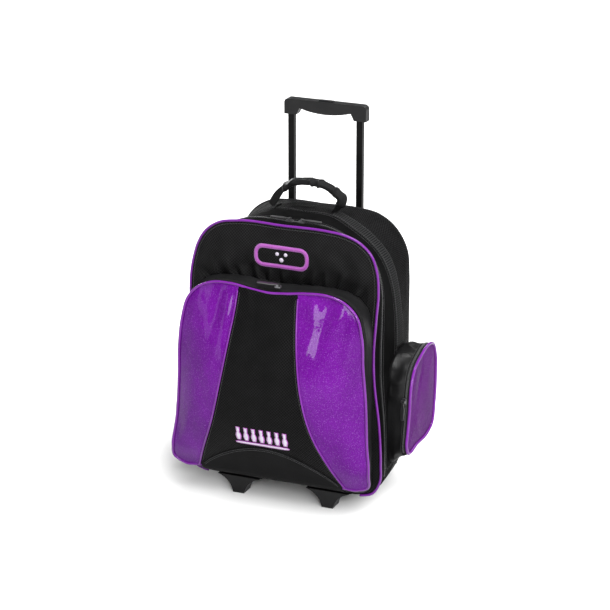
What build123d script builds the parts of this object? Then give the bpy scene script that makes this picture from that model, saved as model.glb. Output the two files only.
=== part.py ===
from build123d import *
import os

# Wheeled bowling ball bag, in millimetres. +Z is up, the front faces -Y, and X runs across the bag.
# The bag is laid out with Y = 0 at its front seam and Z = 0 at the floor, and is moved at export so
# that the origin is the middle of the bottom of its bounding box.

# Bag body: the widths and heights of its outline at the front seam, at the top crest and at the back.
# BEYOND and ABOVE lie outside the bag, for the blocks that trim its pieces.
FRONT_HALF = 200.0
CREST_HALF = 196.0
BACK_HALF = 184.0
TOP_Z = 577.0
BACK_TOP_Z = 563.0
LOW_Z = 37.0
CREST_Y = 104.0
BACK_Y = 208.0
TOP_RADIUS = 97.0
CREST_RADIUS = 145.0
BACK_TOP_RADIUS = 104.0
LOW_RADIUS = 25.0
WALL = 3.0
PIPING_RADIUS = 3.0
BEYOND = 260.0
ABOVE = 640.0

# Lid: everything in front of the main zip, which turns on the seam at the foot of the front panel
LID_HINGE_Y = 2.0
LID_HINGE_Z = 38.0
PANEL_FRONT_Y = -1.3
PANEL_BACK_Y = 1.2
ZIP_Y = 30.0
ZIP_HALF_WIDTH = 6.0
ZIP_GAP = 0.15
ZIP_END_Z = 70.0
CORNER_START_Y = 8.0

# Front pocket: outline where it meets the front panel, outline at its piping, and its crowned front
POCKET_BACK_Y = -1.6
POCKET_PIPING_Y = -72.0
POCKET_BACK = dict(half=190.0, low=42.0, high=466.0, low_radius=25.0, high_radius=75.0)
POCKET_FRONT = dict(half=205.0, low=76.0, high=470.0, low_radius=25.0, high_radius=78.0)
CROWN_MID = dict(half=150.0, low=145.0, high=375.0, low_radius=45.0, high_radius=60.0)
CROWN_TOP = dict(half=62.0, low=222.0, high=322.0, low_radius=30.0, high_radius=30.0)
CROWN_MID_Y = -98.0
CROWN_TOP_Y = -114.0
POCKET_WALL = 2.5
WELT_HEIGHT = 1.9
POCKET_ZIP_Y = -56.0
SEAM_LINE = [(64.0, 480.0), (78.0, 320.0), (108.0, 190.0), (166.0, 60.0)]

# Side pockets: corners (Y, Z) and corner radii where the gusset meets the bag and at the outer panel
SIDE_ROOT_X = 180.0
SIDE_PANEL_X = 250.0
SIDE_ROOT = [(57.0, 88.0), (70.0, 302.0), (184.0, 300.0), (190.0, 112.0), (140.0, 88.0)]
SIDE_RIM = [(35.0, 127.0), (50.0, 312.0), (188.0, 326.0), (199.0, 165.0), (122.0, 127.0)]
SIDE_RADII = [9.0, 34.0, 40.0, 34.0, 60.0]
SIDE_WALL = 2.0

# Trolley: two inner tubes that slide in two outer tubes on the back of the bag
TUBE_X = 73.5
TUBE_Y = 218.2
INNER_TUBE = (13.0, 10.5)
INNER_WALL = 1.2
TUBE_CLEARANCE = 0.3
OUTER_WALL = 1.4
OUTER_LOW_Z = 66.0
OUTER_TOP_Z = 538.0
INNER_LOW_Z = 275.0
INNER_TOP_Z = 752.0
GROOVE_DEPTH = 2.8
GROOVE_HALF = 2.6
RIB_HALF = 4.0
REAR_Y = 230.0
FRAME_FRONT_Y = 211.2
BEZEL_TOP_Z = 546.0
BEZEL_LOW_Z = 520.0
BEZEL_HALF = 100.0
BRACKET_HALF = 92.0
BRACKET_HEIGHT = 28.0
COVER_HALF = 97.0
COVER_WALL = 2.0
BEZEL_SCREWS_X = (-93.0, -25.0, 25.0, 93.0)
BRACKET_SCREWS_X = (-40.0, -14.0, 14.0, 40.0)

# Grip and its release
GRIP_HALF = 88.0
GRIP_TOP_Z = 772.0
GRIP_LOW_Z = 740.0
GRIP_FRONT_Y = 211.6
GRIP_SPLIT_Y = 220.8
GRIP_CORNER = 9.0
END_BLOCK_X = 62.0
BAR_END_X = 55.0
BAR_END_Z = 754.0
BAR_MIDDLE_Z = 746.0
GRIP_SCREW_Z = 746.0
YOKE_HALF = 82.0
BUTTON = (30.0, 10.0)
BUTTON_PROUD = 2.0
BUTTON_TRAVEL = 5.0
YOKE_TOP_Z = 766.3
YOKE_HEIGHT = 3.8
ROD_RADIUS = 1.5
PIN_RADIUS = 2.0
PIN_Z = 283.0
PIN_PROUD = 2.2

# Wheels and feet
WHEEL_X = 140.0
WHEEL_Y = 195.0
WHEEL_RADIUS = 33.0
WHEEL_WIDTH = 24.0
HUB_RADIUS = 22.0
HUB_LENGTH = 28.0
AXLE_RADIUS = 3.0
AXLE_CLEARANCE = 0.05
CHEEK = 3.0
HOUSING_HALF = 18.0
HOUSING_RADIUS = 41.0
HEAD_RADIUS = 5.0
HEAD_LENGTH = 2.0
FOOT_X = 97.0
FOOT_HALF = 12.0
FOOT_FRONT_Y = -5.0
FOOT_BACK_Y = 27.0
FOOT_TOP_Z = 36.0
FOOT_FLARE = 34.0
PAD_HALF = 46.0
PAD_BACK_Y = 52.0
PAD_THICKNESS = 4.0
FOOT_SCREW_X = 30.0
FOOT_SCREW_Y = 42.0

# Carry handle: corners (X, Z) of the middle line of its arch
HANDLE_Y = 117.0
HANDLE_WIDTH = 22.0
HANDLE_THICKNESS = 7.0
HANDLE_PATH = [(-76.0, 576.0), (-46.0, 628.0), (50.0, 640.0), (91.0, 611.0), (65.0, 576.0)]
HANDLE_BENDS = [50.0, 50.0, 12.0]
HANDLE_PIVOT_Z = 588.9

# Webbing: a strap across the top, and a ribbed one down each shoulder
STRAP_FRONT_Y = 104.5
STRAP_WIDTH = 34.0
STRAP_THICKNESS = 2.1
STRAP_JOIN_X = 60.0
STRAP_END_Z = 312.0

# Floor and ball cup: a bowling ball is 218 mm across
BASE_HALF = 157.0
BASE_FRONT_Y = 10.0
BALL_RADIUS = 109.5
CUP_LOW_Z = 43.2
CUP_TOP_Z = 85.0
CUP_FLOOR = 12.0
CUP_Y = 115.0
CUP_HALF = 110.0
CUP_HALF_DEPTH = 82.0
CUP_CORNER = 25.0

# Sliders and their pulls
SLIDER_LENGTH = 14.0
SLIDER_WIDTH = 9.0
SLIDER_BASE = 3.0
LUG_HEIGHT = 3.6
BAR_HEIGHT = 2.6
BAR_RADIUS = 0.8
PULL_EYE_RADIUS = 2.3
PULL_EYE_BORE = 1.15
PULL_WIDTH = 9.0
PULL_THICKNESS = 2.2
PULL_LENGTHS = {"main_left": 42.0, "main_right": 44.0, "pocket": 46.0, "side_right": 40.0}
SLIDER_LIFT = 1.0
LEFT_SLIDER_X = 2.0
RIGHT_SLIDER_X = 27.0
POCKET_SLIDER_X = 14.0
SIDE_SLIDER_Z = 232.0
SIDE_SLIDER_X = 241.0

# Half-depth of the whole bag's box, which the export takes away from Y
FRAME_Y = (REAR_Y + CROWN_TOP_Y - WELT_HEIGHT) / 2


# ---------------------------------------------------------------- shared shapes

def mix(a, b, share):
    return a + (b - a) * share


def block(x0, x1, y0, y1, z0, z1):
    """Box between two corners."""
    middle = Pos((x0 + x1) / 2, (y0 + y1) / 2, (z0 + z1) / 2)
    return middle * Box(abs(x1 - x0), abs(y1 - y0), abs(z1 - z0))


def rod_x(x0, x1, y, z, radius):
    """Cylinder along X."""
    return Pos((x0 + x1) / 2, y, z) * Rot(0, 90, 0) * Cylinder(radius, abs(x1 - x0))


def rod_y(x, y0, y1, z, radius):
    """Cylinder along Y."""
    return Pos(x, (y0 + y1) / 2, z) * Rot(90, 0, 0) * Cylinder(radius, abs(y1 - y0))


def rod_z(x, y, z0, z1, radius):
    """Cylinder along Z."""
    return Pos(x, y, (z0 + z1) / 2) * Cylinder(radius, abs(z1 - z0))


def other_side(shape):
    """The same piece on the other side of the bag."""
    return mirror(shape, about=Plane.YZ)


def front_plane(y):
    """Plane that faces the front, with local x along X and local y along Z."""
    return Plane(origin=(0, y, 0), x_dir=(1, 0, 0), z_dir=(0, -1, 0))


def side_plane(x):
    """Plane that faces +X, with local x along Y and local y along Z."""
    return Plane(origin=(x, 0, 0), x_dir=(0, 1, 0), z_dir=(1, 0, 0))


def upright_face(y, half, low, high, low_radius, high_radius, grow=0.0):
    """Rounded rectangle that stands across the bag at depth y."""
    height = high - low + 2 * grow
    outline = Pos(0, (low + high) / 2) * Rectangle(2 * (half + grow), height)
    outline = fillet(outline.vertices().group_by(Axis.Y)[-1], high_radius + grow)
    outline = fillet(outline.vertices().group_by(Axis.Y)[0], low_radius + grow)
    return front_plane(y) * outline


def bag_face(y, grow=0.0):
    """Outline of the bag body at depth y."""
    if y <= CREST_Y:
        half = mix(FRONT_HALF, CREST_HALF, y / CREST_Y)
        radius = mix(TOP_RADIUS, CREST_RADIUS, y / CREST_Y)
        return upright_face(y, half, LOW_Z, TOP_Z, LOW_RADIUS, radius, grow)
    share = (y - CREST_Y) / (BACK_Y - CREST_Y)
    half = mix(CREST_HALF, BACK_HALF, share)
    top = mix(TOP_Z, BACK_TOP_Z, share)
    radius = mix(CREST_RADIUS, BACK_TOP_RADIUS, share)
    return upright_face(y, half, LOW_Z, top, LOW_RADIUS, radius, grow)


def bag_solid(y0, y1, grow=0.0):
    return loft([bag_face(y0, grow).face(), bag_face(y1, grow).face()], ruled=True)


def bag_band(y0, y1, inner, outer):
    """Wall that follows the bag's outline, between two offsets from it."""
    return bag_solid(y0, y1, outer) - bag_solid(y0, y1, inner)


def pocket_face(y, grow=0.0):
    """Outline of the front pocket at depth y."""
    share = (y - POCKET_BACK_Y) / (POCKET_PIPING_Y - POCKET_BACK_Y)
    size = {}
    for key in POCKET_BACK:
        size[key] = mix(POCKET_BACK[key], POCKET_FRONT[key], share)
    return upright_face(y, grow=grow, **size)


def pocket_band(y0, y1, inner, outer):
    """Wall that follows the front pocket's outline."""
    solids = []
    for grow in (outer, inner):
        solids.append(loft([pocket_face(y0, grow).face(), pocket_face(y1, grow).face()], ruled=True))
    return solids[0] - solids[1]


def side_face(share, grow=0.0):
    """Outline of a side pocket, from the bag (share 0) to its outer panel (share 1)."""
    corners = []
    for root, rim in zip(SIDE_ROOT, SIDE_RIM):
        corners.append((mix(root[0], rim[0], share), mix(root[1], rim[1], share)))
    outline = make_face(FilletPolyline(*corners, radius=SIDE_RADII, close=True))
    if grow:
        outline = offset(outline, amount=grow)
    return side_plane(mix(SIDE_ROOT_X, SIDE_PANEL_X, share)) * outline


def side_band(share0, share1, inner, outer):
    """Wall that follows a side pocket's outline."""
    solids = []
    for grow in (outer, inner):
        solids.append(loft([side_face(share0, grow).face(), side_face(share1, grow).face()], ruled=True))
    return solids[0] - solids[1]


def side_share(x):
    """How far x lies from the bag towards the side pocket's outer panel."""
    return (x - SIDE_ROOT_X) / (SIDE_PANEL_X - SIDE_ROOT_X)


def cord_along(face, radius):
    """Round cord along the outline of a face."""
    path = face.face().outer_wire()
    start = Plane(origin=path @ 0, z_dir=path % 0)
    return sweep(start * Circle(radius), path=path)


def housing_room(margin):
    """Space that the two wheel housings take out of the bag's lower back corners."""
    room = []
    for side in (-1, 1):
        inner = side * (WHEEL_X - HOUSING_HALF - margin)
        outer = side * (WHEEL_X + HOUSING_HALF + margin)
        front = WHEEL_Y - HOUSING_RADIUS - margin
        top = WHEEL_RADIUS + HOUSING_RADIUS + margin
        room.append(block(inner, outer, front, REAR_Y + 10, -10, top))
    return room[0] + room[1]


def screw(x, y, z, direction, length=9.0):
    """Pan head screw whose head sits on (x, y, z) and whose shank runs along direction."""
    head = Pos(0, 0, -1) * Cylinder(3.2, 2.0)
    shank = Pos(0, 0, length / 2) * Cylinder(1.6, length)
    return Plane(origin=(x, y, z), z_dir=direction) * (head + shank)


# ---------------------------------------------------------------- bag body

def zip_gusset():
    """Plain band behind the main zip, with the unzipped bottom that runs on to the front seam."""
    band = bag_band(CORNER_START_Y, CREST_Y, -WALL, 0)
    zip_room = block(-BEYOND, BEYOND, -10, ZIP_Y + ZIP_HALF_WIDTH, ZIP_END_Z - 2, ABOVE)
    return band - zip_room


def rear_gusset():
    """Band over the back half of the bag, cut out round the wheel housings and the axle heads."""
    band = bag_band(CREST_Y, BACK_Y, -WALL, 0) - housing_room(0.2)
    head_room = rod_x(WHEEL_X - 20, WHEEL_X + 20, WHEEL_Y, WHEEL_RADIUS, HEAD_RADIUS + 1)
    return band - head_room - other_side(head_room)


def back_panel():
    """Padded back of the bag."""
    face = bag_face(BACK_Y)
    return extrude(face, amount=-WALL) - housing_room(0.2)


def back_board():
    """Stiff sheet inside the back panel, with the rounded top corners of the bag."""
    face = bag_face(BACK_Y, -WALL - 1.5)
    sheet = Pos(0, -3.3, 0) * extrude(face, amount=-3)
    return sheet - housing_room(0.2)


def base_plate():
    """Stiff floor of the bag, notched for the wheel housings."""
    plate = block(-BASE_HALF, BASE_HALF, BASE_FRONT_Y, BACK_Y - 7, LOW_Z + WALL, CUP_LOW_Z)
    return plate - housing_room(0.2)


def ball_cup():
    """Foam block with the dish that a ball sits in."""
    centre_z = CUP_LOW_Z + CUP_FLOOR + BALL_RADIUS
    front = CUP_Y - CUP_HALF_DEPTH
    foam = block(-CUP_HALF, CUP_HALF, front, CUP_Y + CUP_HALF_DEPTH, CUP_LOW_Z, CUP_TOP_Z)
    foam = fillet(foam.edges().filter_by(Axis.Z), CUP_CORNER)
    return foam - Pos(0, CUP_Y, centre_z) * Sphere(BALL_RADIUS)


def zip_tape(y0, y1, chain0, chain1, low):
    """Zip tape round the top and sides of the bag, with half of the zip's chain along one edge."""
    tape = bag_band(y0, y1, -2.6, -0.4)
    chain = bag_band(chain0, chain1, -2.6, 0.6)
    return (tape + chain) - block(-BEYOND, BEYOND, 0, CREST_Y, 0, low)


def strap_band():
    """Webbing all the way round the bag, just behind its crest."""
    return bag_band(STRAP_FRONT_Y, STRAP_FRONT_Y + STRAP_WIDTH, 0.05, STRAP_THICKNESS)


def ribbed_strap():
    """Webbing that runs from the carry handle over the shoulder and down to the side pocket."""
    return strap_band() & block(STRAP_JOIN_X, BEYOND, CREST_Y, BACK_Y, STRAP_END_Z, ABOVE)


def handle_strap():
    """Webbing across the top that the carry handle is sewn to."""
    half = STRAP_JOIN_X - 0.2
    return strap_band() & block(-half, half, CREST_Y, BACK_Y, BACK_TOP_Z - 60, ABOVE)


# ---------------------------------------------------------------- base, feet and wheels

def foot():
    """Moulded foot with hollow flared sides, and the pad that is screwed under the bag."""
    half = FOOT_HALF
    with BuildSketch(front_plane(FOOT_FRONT_Y)) as profile:
        with BuildLine():
            low_left = (FOOT_X - half, 0)
            low_right = (FOOT_X + half, 0)
            top_left = (FOOT_X - half - FOOT_FLARE, FOOT_TOP_Z)
            top_right = (FOOT_X + half + FOOT_FLARE, FOOT_TOP_Z)
            Line(low_left, low_right)
            Spline(low_right, (FOOT_X + half + 9, 20), top_right)
            Line(top_right, top_left)
            Spline(top_left, (FOOT_X - half - 9, 20), low_left)
        make_face()
    body = extrude(profile.sketch, amount=FOOT_FRONT_Y - FOOT_BACK_Y)
    pad_low = FOOT_TOP_Z - PAD_THICKNESS
    pad = block(FOOT_X - PAD_HALF, FOOT_X + PAD_HALF, CORNER_START_Y + 1, PAD_BACK_Y, pad_low, LOW_Z)
    piece = body + pad
    for hole in foot_screw_places(1):
        piece -= screw(*hole, (0, 0, 1))
    return piece


def foot_screw_places(side):
    """Two screws behind each foot, up into the floor of the bag."""
    height = FOOT_TOP_Z - PAD_THICKNESS
    return [(side * (FOOT_X + shift), FOOT_SCREW_Y, height) for shift in (-FOOT_SCREW_X, FOOT_SCREW_X)]


def foot_screws():
    screws = []
    for side in (-1, 1):
        for place in foot_screw_places(side):
            screws.append(screw(*place, (0, 0, 1)))
    return screws


def without(shape, tools):
    """A shape with each tool cut out of it."""
    for tool in tools:
        shape = shape - tool
    return shape


def wheel_housing():
    """Fender over one wheel, with the two cheeks that carry the axle."""
    inner = WHEEL_X - HOUSING_HALF + 1
    outer = WHEEL_X + HOUSING_HALF - 1
    fender = rod_x(inner, outer, WHEEL_Y, WHEEL_RADIUS, HOUSING_RADIUS)
    fender -= rod_x(inner + CHEEK, outer - CHEEK, WHEEL_Y, WHEEL_RADIUS, WHEEL_RADIUS + 4)
    fender -= block(inner + CHEEK, outer - CHEEK, WHEEL_Y + 8, REAR_Y + 20, -10, 60)
    fender -= block(inner - 5, outer + 5, 100, REAR_Y + 20, -20, 17)
    fender -= block(inner - 5, outer + 5, REAR_Y - 2, REAR_Y + 20, -20, 90)
    return fender - rod_x(inner - 5, outer + 5, WHEEL_Y, WHEEL_RADIUS, AXLE_RADIUS)


def axle():
    """Steel axle with a round head outside each cheek."""
    inner = WHEEL_X - HOUSING_HALF + 1
    outer = WHEEL_X + HOUSING_HALF - 1
    bar = rod_x(inner, outer, WHEEL_Y, WHEEL_RADIUS, AXLE_RADIUS)
    heads = rod_x(inner - HEAD_LENGTH, inner, WHEEL_Y, WHEEL_RADIUS, HEAD_RADIUS)
    heads += rod_x(outer, outer + HEAD_LENGTH, WHEEL_Y, WHEEL_RADIUS, HEAD_RADIUS)
    return bar + heads


def wheel_hub():
    """Moulded hub with five lightening holes."""
    bore = AXLE_RADIUS + AXLE_CLEARANCE
    half = WHEEL_WIDTH / 2 - 3
    hub = rod_x(WHEEL_X - half, WHEEL_X + half, WHEEL_Y, WHEEL_RADIUS, HUB_RADIUS)
    boss = rod_x(WHEEL_X - 13, WHEEL_X + 13, WHEEL_Y, WHEEL_RADIUS, 8)
    hub = hub + boss - rod_x(WHEEL_X - 20, WHEEL_X + 20, WHEEL_Y, WHEEL_RADIUS, bore)
    for index in range(5):
        hole = Pos(0, WHEEL_Y, WHEEL_RADIUS) * Rot(72 * index, 0, 0) * rod_x(100, 180, 0, 14.5, 4)
        hub -= hole
    return hub


def tyre():
    ring = rod_x(WHEEL_X - WHEEL_WIDTH / 2, WHEEL_X + WHEEL_WIDTH / 2, WHEEL_Y, WHEEL_RADIUS, WHEEL_RADIUS)
    ring = fillet(ring.edges(), 6)
    return ring - rod_x(WHEEL_X - 20, WHEEL_X + 20, WHEEL_Y, WHEEL_RADIUS, HUB_RADIUS)


# ---------------------------------------------------------------- lid

def front_panel():
    """Front of the main compartment, behind the front pocket."""
    face = upright_face(PANEL_FRONT_Y, FRONT_HALF - 3.2, LOW_Z + 3, TOP_Z - 3.2, 22, TOP_RADIUS - 3)
    return extrude(face, amount=PANEL_FRONT_Y - PANEL_BACK_Y)


def front_gusset():
    """Plain band between the main piping and the zip."""
    band = bag_band(PIPING_RADIUS + 0.1, ZIP_Y - ZIP_HALF_WIDTH, -WALL, 0)
    return band - block(-BEYOND, BEYOND, 0, CREST_Y, 0, ZIP_END_Z)


def main_piping():
    """Piping round the front panel, tucked in under the bag between the feet."""
    ring = cord_along(bag_face(0), PIPING_RADIUS)
    return ring - block(-165, 165, -20, 20, 0, 100)


def badge():
    """Raised frame with three round dots, like the finger holes of a ball."""
    plane = front_plane(PANEL_FRONT_Y)
    frame = RectangleRounded(116, 44, 15) - RectangleRounded(103, 31, 9)
    dots = [Pos(0, -6) * Circle(4), Pos(-8, 5) * Circle(3.4), Pos(8, 5) * Circle(3.4)]
    return [extrude(plane * Pos(0, 515) * shape, amount=1.2) for shape in [frame] + dots]


def pocket_gusset():
    """Side wall of the front pocket, which slopes in under the bag at the bottom."""
    return pocket_band(POCKET_BACK_Y, POCKET_ZIP_Y + 4, -POCKET_WALL, 0)


def pocket_zip():
    return pocket_band(POCKET_ZIP_Y + 4, POCKET_ZIP_Y + ZIP_GAP, -2.0, 0.8)


# ---------------------------------------------------------------- pocket flap

def flap_band():
    """Strip of gusset in front of the pocket's zip."""
    return pocket_band(POCKET_ZIP_Y - ZIP_GAP, POCKET_PIPING_Y + PIPING_RADIUS, -POCKET_WALL, 0)


def crown(grow):
    """Solid under the crowned front of the pocket, grown outwards by a distance."""
    rim = upright_face(POCKET_PIPING_Y - grow, grow=grow - PIPING_RADIUS, **POCKET_FRONT)
    middle = upright_face(CROWN_MID_Y - grow, grow=grow, **CROWN_MID)
    top = upright_face(CROWN_TOP_Y - grow, grow=grow, **CROWN_TOP)
    return loft([rim.face(), middle.face(), top.face()], ruled=True)


def between_seams(shift):
    """Block between the two curved seams of the pocket, each moved outwards by a distance."""
    right = [(x + shift, z) for x, z in SEAM_LINE]
    left = [(-x, z) for x, z in reversed(right)]
    with BuildSketch(front_plane(-60)) as region:
        with BuildLine():
            Spline(*right)
            Line(right[-1], left[0])
            Spline(*left)
            Line(left[-1], right[0])
        make_face()
    return extrude(region.sketch, amount=80)


def crown_shell():
    shell = crown(0) - crown(-POCKET_WALL)
    return shell - block(-BEYOND, BEYOND, POCKET_PIPING_Y, 0, 0, ABOVE)


def welts():
    """The two piped seams of the pocket, each a low rib on the crown."""
    rib = crown(WELT_HEIGHT) - crown(0)
    rib = rib & (between_seams(2) - between_seams(-2))
    low = POCKET_FRONT["low"] + 3.5
    high = POCKET_FRONT["high"] - 4
    rib = rib & block(-BEYOND, BEYOND, -BEYOND, POCKET_PIPING_Y - PIPING_RADIUS, low, high)
    return rib


def pin_outline():
    """Side view of a bowling pin, 26 high, standing on (0, 0)."""
    with BuildSketch() as pin:
        with BuildLine():
            Line((-2.6, 0), (2.6, 0))
            Spline((2.6, 0), (5.0, 8.5), (2.2, 17.0), (3.2, 22.0), (0, 26.0))
            Spline((0, 26.0), (-3.2, 22.0), (-2.2, 17.0), (-5.0, 8.5), (-2.6, 0))
        make_face()
    return pin.sketch


def emblem():
    """Row of seven bowling pins over a plain bar, on the lower part of the crown."""
    layer = crown(1.1) - crown(0)
    shapes = [Pos(16.5 * (index - 3), 164) * pin_outline() for index in range(7)]
    shapes.append(Pos(0, 157) * SlotOverall(112, 4.5))
    return [layer & extrude(front_plane(-60) * shape, amount=80) for shape in shapes]


# ---------------------------------------------------------------- side pockets

def side_gusset():
    """Side wall of a side pocket, which widens from the bag to the outer panel."""
    wall = side_band(0, side_share(SIDE_PANEL_X - 14), -SIDE_WALL, 0)
    wall -= bag_solid(CORNER_START_Y, CREST_Y, 0.05)
    return wall - bag_solid(CREST_Y, BACK_Y, 0.05)


def side_zip():
    return side_band(side_share(SIDE_PANEL_X - 14), side_share(SIDE_PANEL_X - 4), -SIDE_WALL, 1.0)


def side_panel():
    """Glossy outer panel of a side pocket."""
    face = side_face(1.0, -PIPING_RADIUS)
    return Pos(-1.2, 0, 0) * extrude(face, amount=2.4)


def side_piping():
    return cord_along(side_face(1.0), PIPING_RADIUS)


# ---------------------------------------------------------------- trolley

def tube_section(size):
    return Pos(TUBE_X, TUBE_Y) * Rectangle(*size)


def outer_outline():
    """Outside of an outer tube, with the rib that holds the lock groove."""
    width = INNER_TUBE[0] + 2 * (TUBE_CLEARANCE + OUTER_WALL)
    depth = INNER_TUBE[1] + 2 * (TUBE_CLEARANCE + OUTER_WALL)
    rib_end = INNER_TUBE[0] / 2 + TUBE_CLEARANCE + GROOVE_DEPTH + 1.2
    rib = Pos(TUBE_X + rib_end / 2, TUBE_Y) * Rectangle(rib_end, 2 * RIB_HALF)
    return tube_section((width, depth)) + rib


def slide_room():
    """Bore of an outer tube, with the groove that the lock pin runs in."""
    bore = (INNER_TUBE[0] + 2 * TUBE_CLEARANCE, INNER_TUBE[1] + 2 * TUBE_CLEARANCE)
    groove_end = bore[0] / 2 + GROOVE_DEPTH
    groove = Pos(TUBE_X + groove_end / 2, TUBE_Y) * Rectangle(groove_end, 2 * GROOVE_HALF)
    return tube_section(bore) + groove


def outer_tube():
    section = outer_outline() - slide_room()
    return Pos(0, 0, OUTER_LOW_Z) * extrude(section, amount=OUTER_TOP_Z - OUTER_LOW_Z)


def both_sides(shape):
    return shape + other_side(shape)


def bezel():
    """Top bracket of the trolley frame, with a collar for each tube."""
    body = block(-BEZEL_HALF, BEZEL_HALF, FRAME_FRONT_Y, REAR_Y, BEZEL_LOW_Z, BEZEL_TOP_Z)
    body = fillet(body.edges().filter_by(Axis.Z).group_by(Axis.Y)[-1], 6)
    socket = Pos(0, 0, BEZEL_LOW_Z) * extrude(outer_outline(), amount=OUTER_TOP_Z - BEZEL_LOW_Z)
    bore = (INNER_TUBE[0] + 2 * TUBE_CLEARANCE, INNER_TUBE[1] + 2 * TUBE_CLEARANCE)
    collar = Pos(0, 0, BEZEL_LOW_Z) * extrude(tube_section(bore), amount=40)
    body = body - both_sides(socket) - both_sides(collar)
    return without(body, bezel_screws())


def bezel_screws():
    """Screws through the two ends and the middle of the top bracket."""
    height = (BEZEL_LOW_Z + BEZEL_TOP_Z) / 2
    places = [(x, REAR_Y, height) for x in BEZEL_SCREWS_X]
    return [screw(*place, (0, -1, 0), 17.5) for place in places]


def bottom_bracket():
    """Lower bracket of the trolley frame, which closes the outer tubes' feet."""
    low = OUTER_LOW_Z - 6
    body = block(-BRACKET_HALF, BRACKET_HALF, FRAME_FRONT_Y, REAR_Y - 2, low, low + BRACKET_HEIGHT)
    body = fillet(body.edges().filter_by(Axis.Z).group_by(Axis.Y)[-1], 5)
    socket = Pos(0, 0, OUTER_LOW_Z) * extrude(outer_outline(), amount=40)
    return without(body - both_sides(socket), bracket_screws())


def bracket_screws():
    places = [(x, REAR_Y - 2, OUTER_LOW_Z + 10) for x in BRACKET_SCREWS_X]
    return [screw(*place, (0, -1, 0), 15.5) for place in places]


def tube_cover():
    """Fabric cover over the outer tubes, sewn to the back panel along both sides."""
    low = OUTER_LOW_Z - 6 + BRACKET_HEIGHT + 0.3
    top = BEZEL_LOW_Z - 0.3
    back = REAR_Y - 1.5
    outside = block(-COVER_HALF, COVER_HALF, FRAME_FRONT_Y, back, low, top)
    outside = fillet(outside.edges().filter_by(Axis.Z).group_by(Axis.Y)[-1], 8)
    half = COVER_HALF - COVER_WALL
    inside = block(-half, half, FRAME_FRONT_Y - 15, back - COVER_WALL, low - 5, top + 5)
    return outside - fillet(inside.edges().filter_by(Axis.Z), 6)


def inner_tube():
    bore = (INNER_TUBE[0] - 2 * INNER_WALL, INNER_TUBE[1] - 2 * INNER_WALL)
    section = tube_section(INNER_TUBE) - tube_section(bore)
    tube = Pos(0, 0, INNER_LOW_Z) * extrude(section, amount=INNER_TOP_Z - INNER_LOW_Z)
    tube -= rod_x(TUBE_X, TUBE_X + 20, TUBE_Y, PIN_Z, PIN_RADIUS + 0.3)
    return without(tube, grip_screws())


def lock_block():
    """Plug in the foot of an inner tube, which the lock pin slides in."""
    size = (INNER_TUBE[0] - 2 * INNER_WALL, INNER_TUBE[1] - 2 * INNER_WALL)
    plug = Pos(0, 0, INNER_LOW_Z) * extrude(tube_section(size), amount=17)
    plug -= rod_x(TUBE_X - 4, TUBE_X + 20, TUBE_Y, PIN_Z, PIN_RADIUS + 0.1)
    return plug


def lock_pin():
    """Pin that springs outwards from the foot of an inner tube."""
    end = TUBE_X + INNER_TUBE[0] / 2 + PIN_PROUD
    return rod_x(end - 9, end, TUBE_Y, PIN_Z, PIN_RADIUS)


def grip_outline():
    """Front view of the grip: a bar that is deeper in the middle, with a block at each end."""
    with BuildSketch(front_plane(GRIP_FRONT_Y)) as view:
        with BuildLine():
            Line((-GRIP_HALF, GRIP_LOW_Z), (-END_BLOCK_X, GRIP_LOW_Z))
            Line((-END_BLOCK_X, GRIP_LOW_Z), (-BAR_END_X, BAR_END_Z))
            ThreePointArc((-BAR_END_X, BAR_END_Z), (0, BAR_MIDDLE_Z), (BAR_END_X, BAR_END_Z))
            Line((BAR_END_X, BAR_END_Z), (END_BLOCK_X, GRIP_LOW_Z))
            Line((END_BLOCK_X, GRIP_LOW_Z), (GRIP_HALF, GRIP_LOW_Z))
            Line((GRIP_HALF, GRIP_LOW_Z), (GRIP_HALF, GRIP_TOP_Z))
            Line((GRIP_HALF, GRIP_TOP_Z), (-GRIP_HALF, GRIP_TOP_Z))
            Line((-GRIP_HALF, GRIP_TOP_Z), (-GRIP_HALF, GRIP_LOW_Z))
        make_face()
    return fillet(view.sketch.vertices().group_by(Axis.Z)[-1], GRIP_CORNER)


def grip():
    """Whole grip, hollow for the release yoke, with a socket for each tube and a hole for the button."""
    body = extrude(grip_outline(), amount=GRIP_FRONT_Y - REAR_Y)
    yoke_low = YOKE_TOP_Z - YOKE_HEIGHT - BUTTON_TRAVEL - 0.5
    room = YOKE_HALF + 1
    body -= block(-room, room, TUBE_Y - 3.6, TUBE_Y + 3.6, yoke_low, YOKE_TOP_Z + 0.5)
    width = BUTTON[0] / 2 + 0.4
    depth = BUTTON[1] / 2 + 0.4
    body -= block(-width, width, GRIP_SPLIT_Y - depth, GRIP_SPLIT_Y + depth, yoke_low, GRIP_TOP_Z + 5)
    socket = extrude(tube_section(INNER_TUBE), amount=INNER_TOP_Z - GRIP_LOW_Z + 5)
    socket = Pos(0, 0, GRIP_LOW_Z - 5) * socket
    rod_hole = rod_z(TUBE_X, TUBE_Y, INNER_TOP_Z - 1, YOKE_TOP_Z - 4, ROD_RADIUS + 0.4)
    body = body - both_sides(socket) - both_sides(rod_hole)
    return without(body, grip_screws())


def grip_half(front):
    """Front or rear half of the grip, parted along its length."""
    if front:
        return grip() & block(-BEYOND, BEYOND, 0, GRIP_SPLIT_Y, ABOVE, GRIP_TOP_Z + 20)
    return grip() & block(-BEYOND, BEYOND, GRIP_SPLIT_Y, BEYOND, ABOVE, GRIP_TOP_Z + 20)


def grip_screws():
    """Screws through the rear of the grip into the two tubes' heads."""
    places = [(side * TUBE_X, REAR_Y - 0.5, GRIP_SCREW_Z) for side in (-1, 1)]
    return [screw(*place, (0, -1, 0), 6.9) for place in places]


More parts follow.
